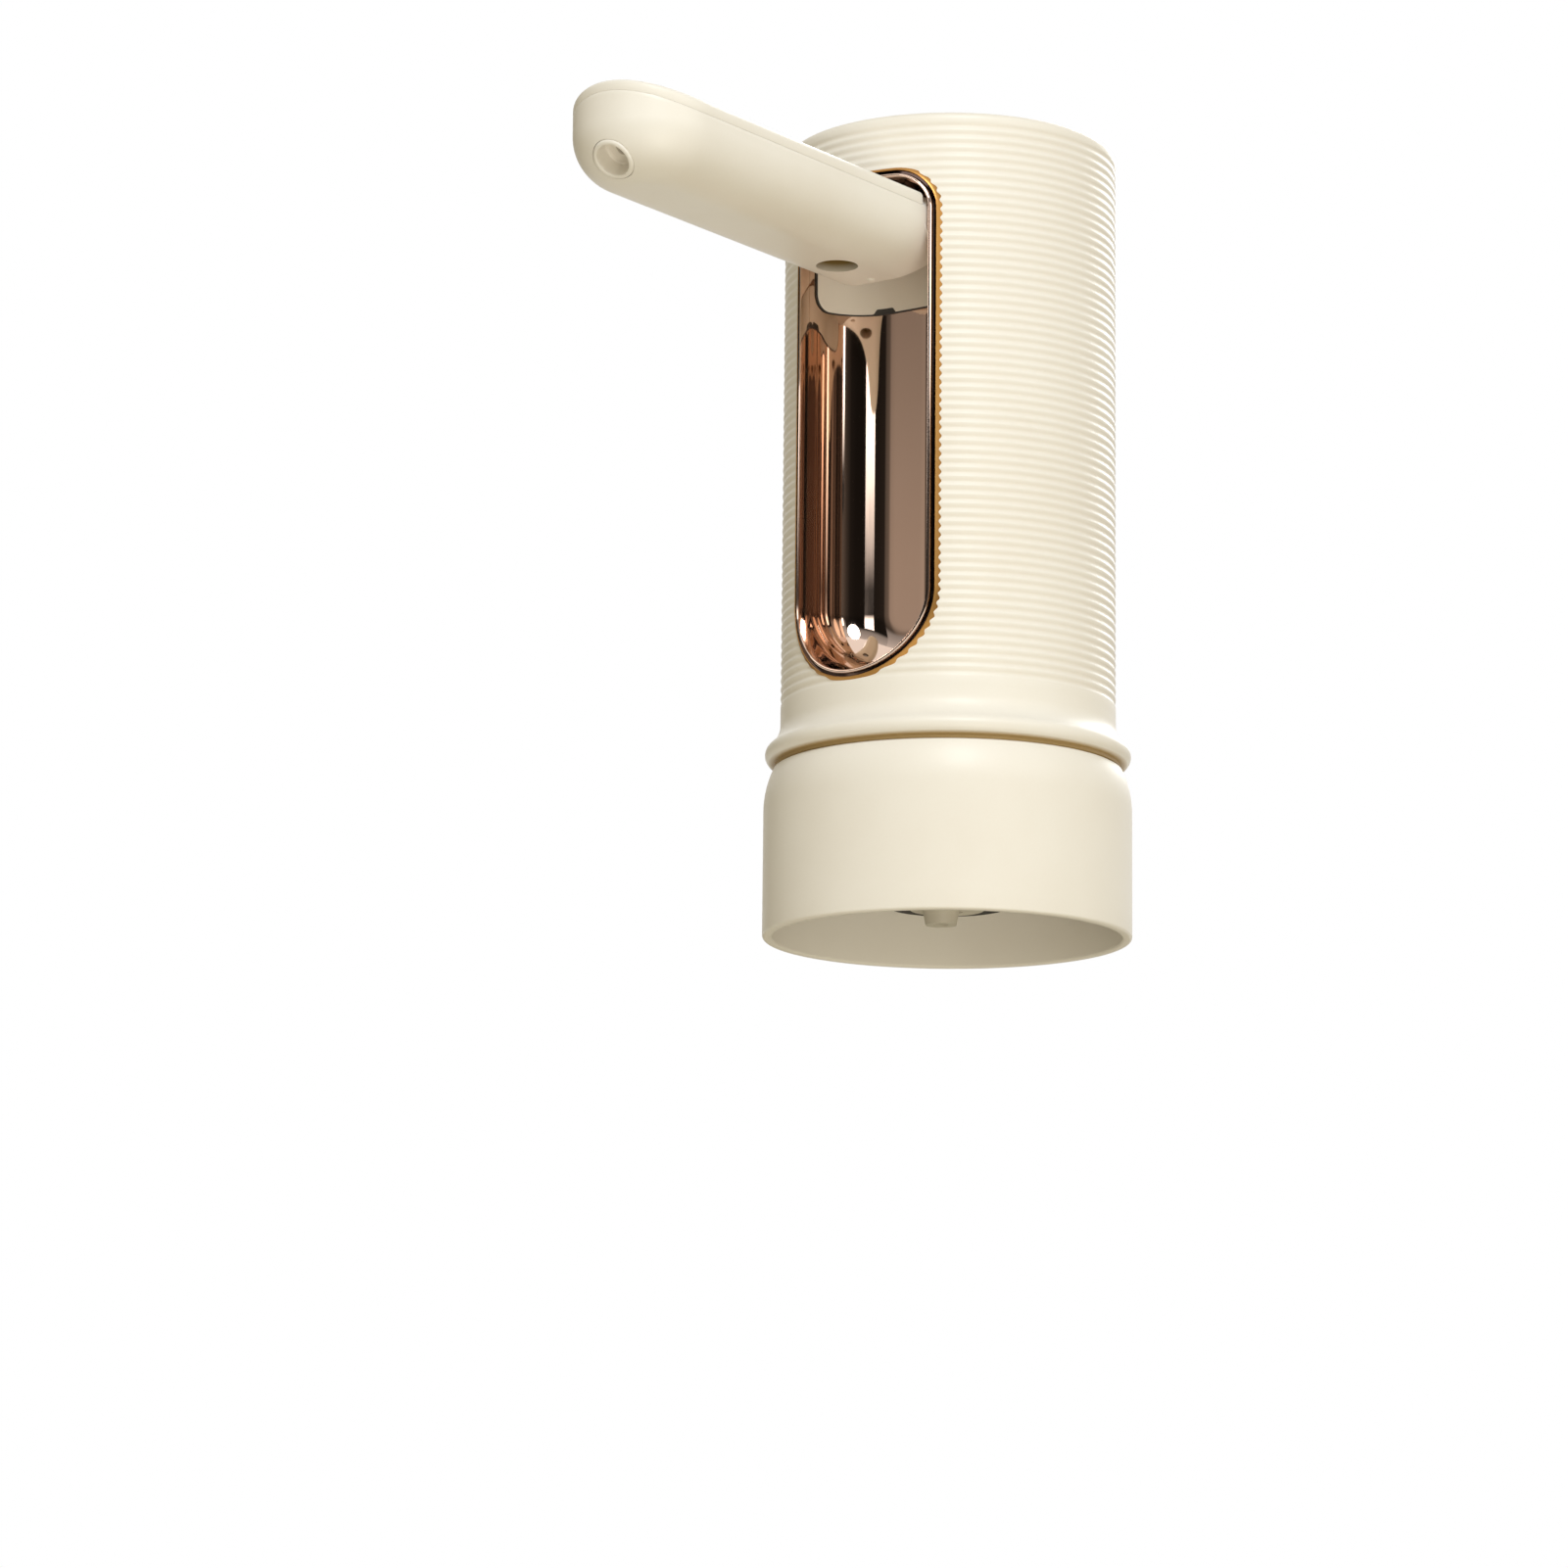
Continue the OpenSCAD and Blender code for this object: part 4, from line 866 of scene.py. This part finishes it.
halo_outline = [(halo_in, cap_low - halo_foot), (halo_in, cap_top - halo_round)]
halo_outline += arc((halo_in + halo_round, cap_top - halo_round), halo_round, 180, 90, 4)
halo_outline += arc((halo_out - halo_round, cap_top - halo_round), halo_round, 90, 0, 4)
halo_outline += [(halo_out, cap_low), (halo_out + 1, cap_low), (halo_out + 1, cap_low - halo_foot)]
halo = turned("light_halo", halo_outline)
milky, wire = shaded("milky_light_guide")
cloud = wire.noise(wire.place(), 260.0, 4.0)
tone = wire.blend(cloud, (0.86, 0.83, 0.76), (0.93, 0.91, 0.86))
wire.skin(tone, 0.22 + cloud * 0.15, IOR=1.49, **{"Coat Weight": 0.2})
halo.data.materials.append(milky)
smooth(halo)
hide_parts("light_ring")
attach(halo, "housing")

button_outline = [(button_r - button_wall, button_low), (button_lip, button_low), (button_lip, button_low + 0.8),
                  (button_r, button_low + 0.8)]
button_outline += arc((button_r - button_round, button_top - button_round), button_round, 0, 90, 6)
button_outline += [(r, button_top - dish_deep * (1 - (r / dish_r) ** 2))
                   for r in (dish_r, 6.2, 5.4, 4.5, 3.5, 2.5, 1.5, 0.7, 0.001)]
button_outline += [(0.001, button_floor), (button_r - button_wall, button_floor)]
push_button = turned("push_button", button_outline)
spun_rose, wire = shaded("spun_rose")
place = wire.place()
x, y = wire.split(place, 0, 1)
radius = wire.maths("SQRT", x * x + y * y)
rings = wire.node("ShaderNodeTexNoise", {"noise_dimensions": "1D"}, {
    "W": radius * 9000.0, "Scale": 1.0, "Detail": 3.0})
haze = wire.noise(place, 300.0, 3.0)
face = wire.maths("LESS_THAN", radius, dish_r * mm)
tone = wire.blend(rings * 0.5 * face + haze * 0.2, rose, rose_deep)
wire.skin(tone, 0.1 + face * 0.2 + haze * 0.06, Metallic=1.0, Normal=wire.bump(rings * face, 0.35, 0.01))
push_button.data.materials.append(spun_rose)
smooth(push_button)
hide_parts("power_button")
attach(push_button, "button")


# Stopper: a dark silicone plug with three lips on a rigid core, and a flat gasket round the top of it.
# They are moulded soft, so every edge is round.
plug_bore, plug_r, plug_foot, lip_r, lip_round, lip_pitch = 5.55, 8.6, -16, 9.4, 0.4, 7
washer_in, washer_out, washer_t, washer_round = 5.55, 15.5, 1.2, 0.3
plug_outline = [(plug_bore, plug_foot), (plug_bore, 0)] + arc((lip_r - 0.3, -0.3), 0.3, 90, 0, 4)
plug_outline += arc((lip_r - lip_round, -1.6), lip_round, 0, -60, 4)
for top in (-lip_pitch, -2 * lip_pitch):
    upper_lip = top + lip_pitch
    plug_outline += [(plug_r + 0.1, upper_lip - 2.1), (plug_r, upper_lip - 2.5), (plug_r, top + 2.3),
                     (plug_r + 0.08, top + 1.8)]
    plug_outline += arc((lip_r - lip_round, top - 0.3), lip_round, 40, 0, 3)
    if top == -lip_pitch:
        plug_outline += arc((lip_r - lip_round, top - 1.6), lip_round, 0, -60, 4)
plug_outline += arc((lip_r - 0.5, plug_foot + 0.5), 0.5, 0, -90, 4)
plug = turned("stopper_plug", plug_outline, 96)
plug.data.materials.append(dark_silicone)
smooth(plug)
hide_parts("bottle_stopper")
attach(plug, "housing")

washer_outline = []
for r, z, start in ((washer_out - washer_round, washer_round, -90),
                    (washer_out - washer_round, washer_t - washer_round, 0),
                    (washer_in + washer_round, washer_t - washer_round, 90),
                    (washer_in + washer_round, washer_round, 180)):
    washer_outline += arc((r, z), washer_round, start, start + 90, 3)
washer = turned("lip_washer", washer_outline, 96)
washer.data.materials.append(dark_silicone)
smooth(washer)
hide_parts("lip_gasket")
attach(washer, "housing")


# Inside pieces: the moulded chassis, deck and core, pump, motor, cell, board, hoses and hinge parts keep their
# own solids and take the finish of what they are made of.
tongue_half, tongue_t = 3.5, 0.6


def moulding(name, colour, rough=0.42):
    material, wire = shaded(name)
    place = wire.place()
    flow = wire.noise(place, 70.0, 4.0)
    grain = wire.noise(place, 2200.0, 2.0)
    tone = wire.blend(flow, [c * 0.88 for c in colour], [min(1, c * 1.1) for c in colour])
    wire.skin(tone, rough + flow * 0.15, Normal=wire.bump(grain, 0.15, 0.02))
    return material


def socket_steel(name):
    """A drawn steel shell with a black contact tongue inside."""
    material, wire = shaded(name)
    place = wire.place()
    x, z = wire.split(place, 0, 2)
    tongue = wire.maths("LESS_THAN", wire.maths("ABSOLUTE", z / mm - slot_z), tongue_t)
    tongue = tongue * wire.maths("LESS_THAN", wire.maths("ABSOLUTE", x / mm), tongue_half)
    drawn = wire.noise(place, 700.0, 3.0)
    pale = wire.blend(drawn, (0.45, 0.45, 0.46), (0.66, 0.66, 0.67))
    tone = wire.blend(tongue, pale, (0.015, 0.015, 0.016))
    wire.skin(tone, 0.24 + drawn * 0.14 + tongue * 0.2, Metallic=1 - tongue)
    return material


inside = {
    "inner_plastic": moulding("inner_moulding", (0.62, 0.58, 0.5)),
    "black_plastic": moulding("black_moulding", (0.02, 0.02, 0.021)),
    "clear_hose": moulding("hose_silicone", (0.6, 0.54, 0.5), 0.3),
    "board_green": moulding("solder_mask", (0.02, 0.11, 0.05), 0.3),
    "cell_wrap": moulding("cell_sleeve", (0.03, 0.14, 0.08), 0.25),
    "steel": steel("turned_steel"), "dark_silicone": dark_silicone}
slot_of = {part["node"]: part["material_slot"] for part in frame["record"]["subparts"]}
socket_finish = socket_steel("socket_steel")
for name, node in frame["nodes"].items():
    finish = socket_finish if name == "usb_socket" else inside.get(slot_of.get(name))
    if finish and not node.hide_render:
        node.data.materials.clear()
        node.data.materials.append(finish)
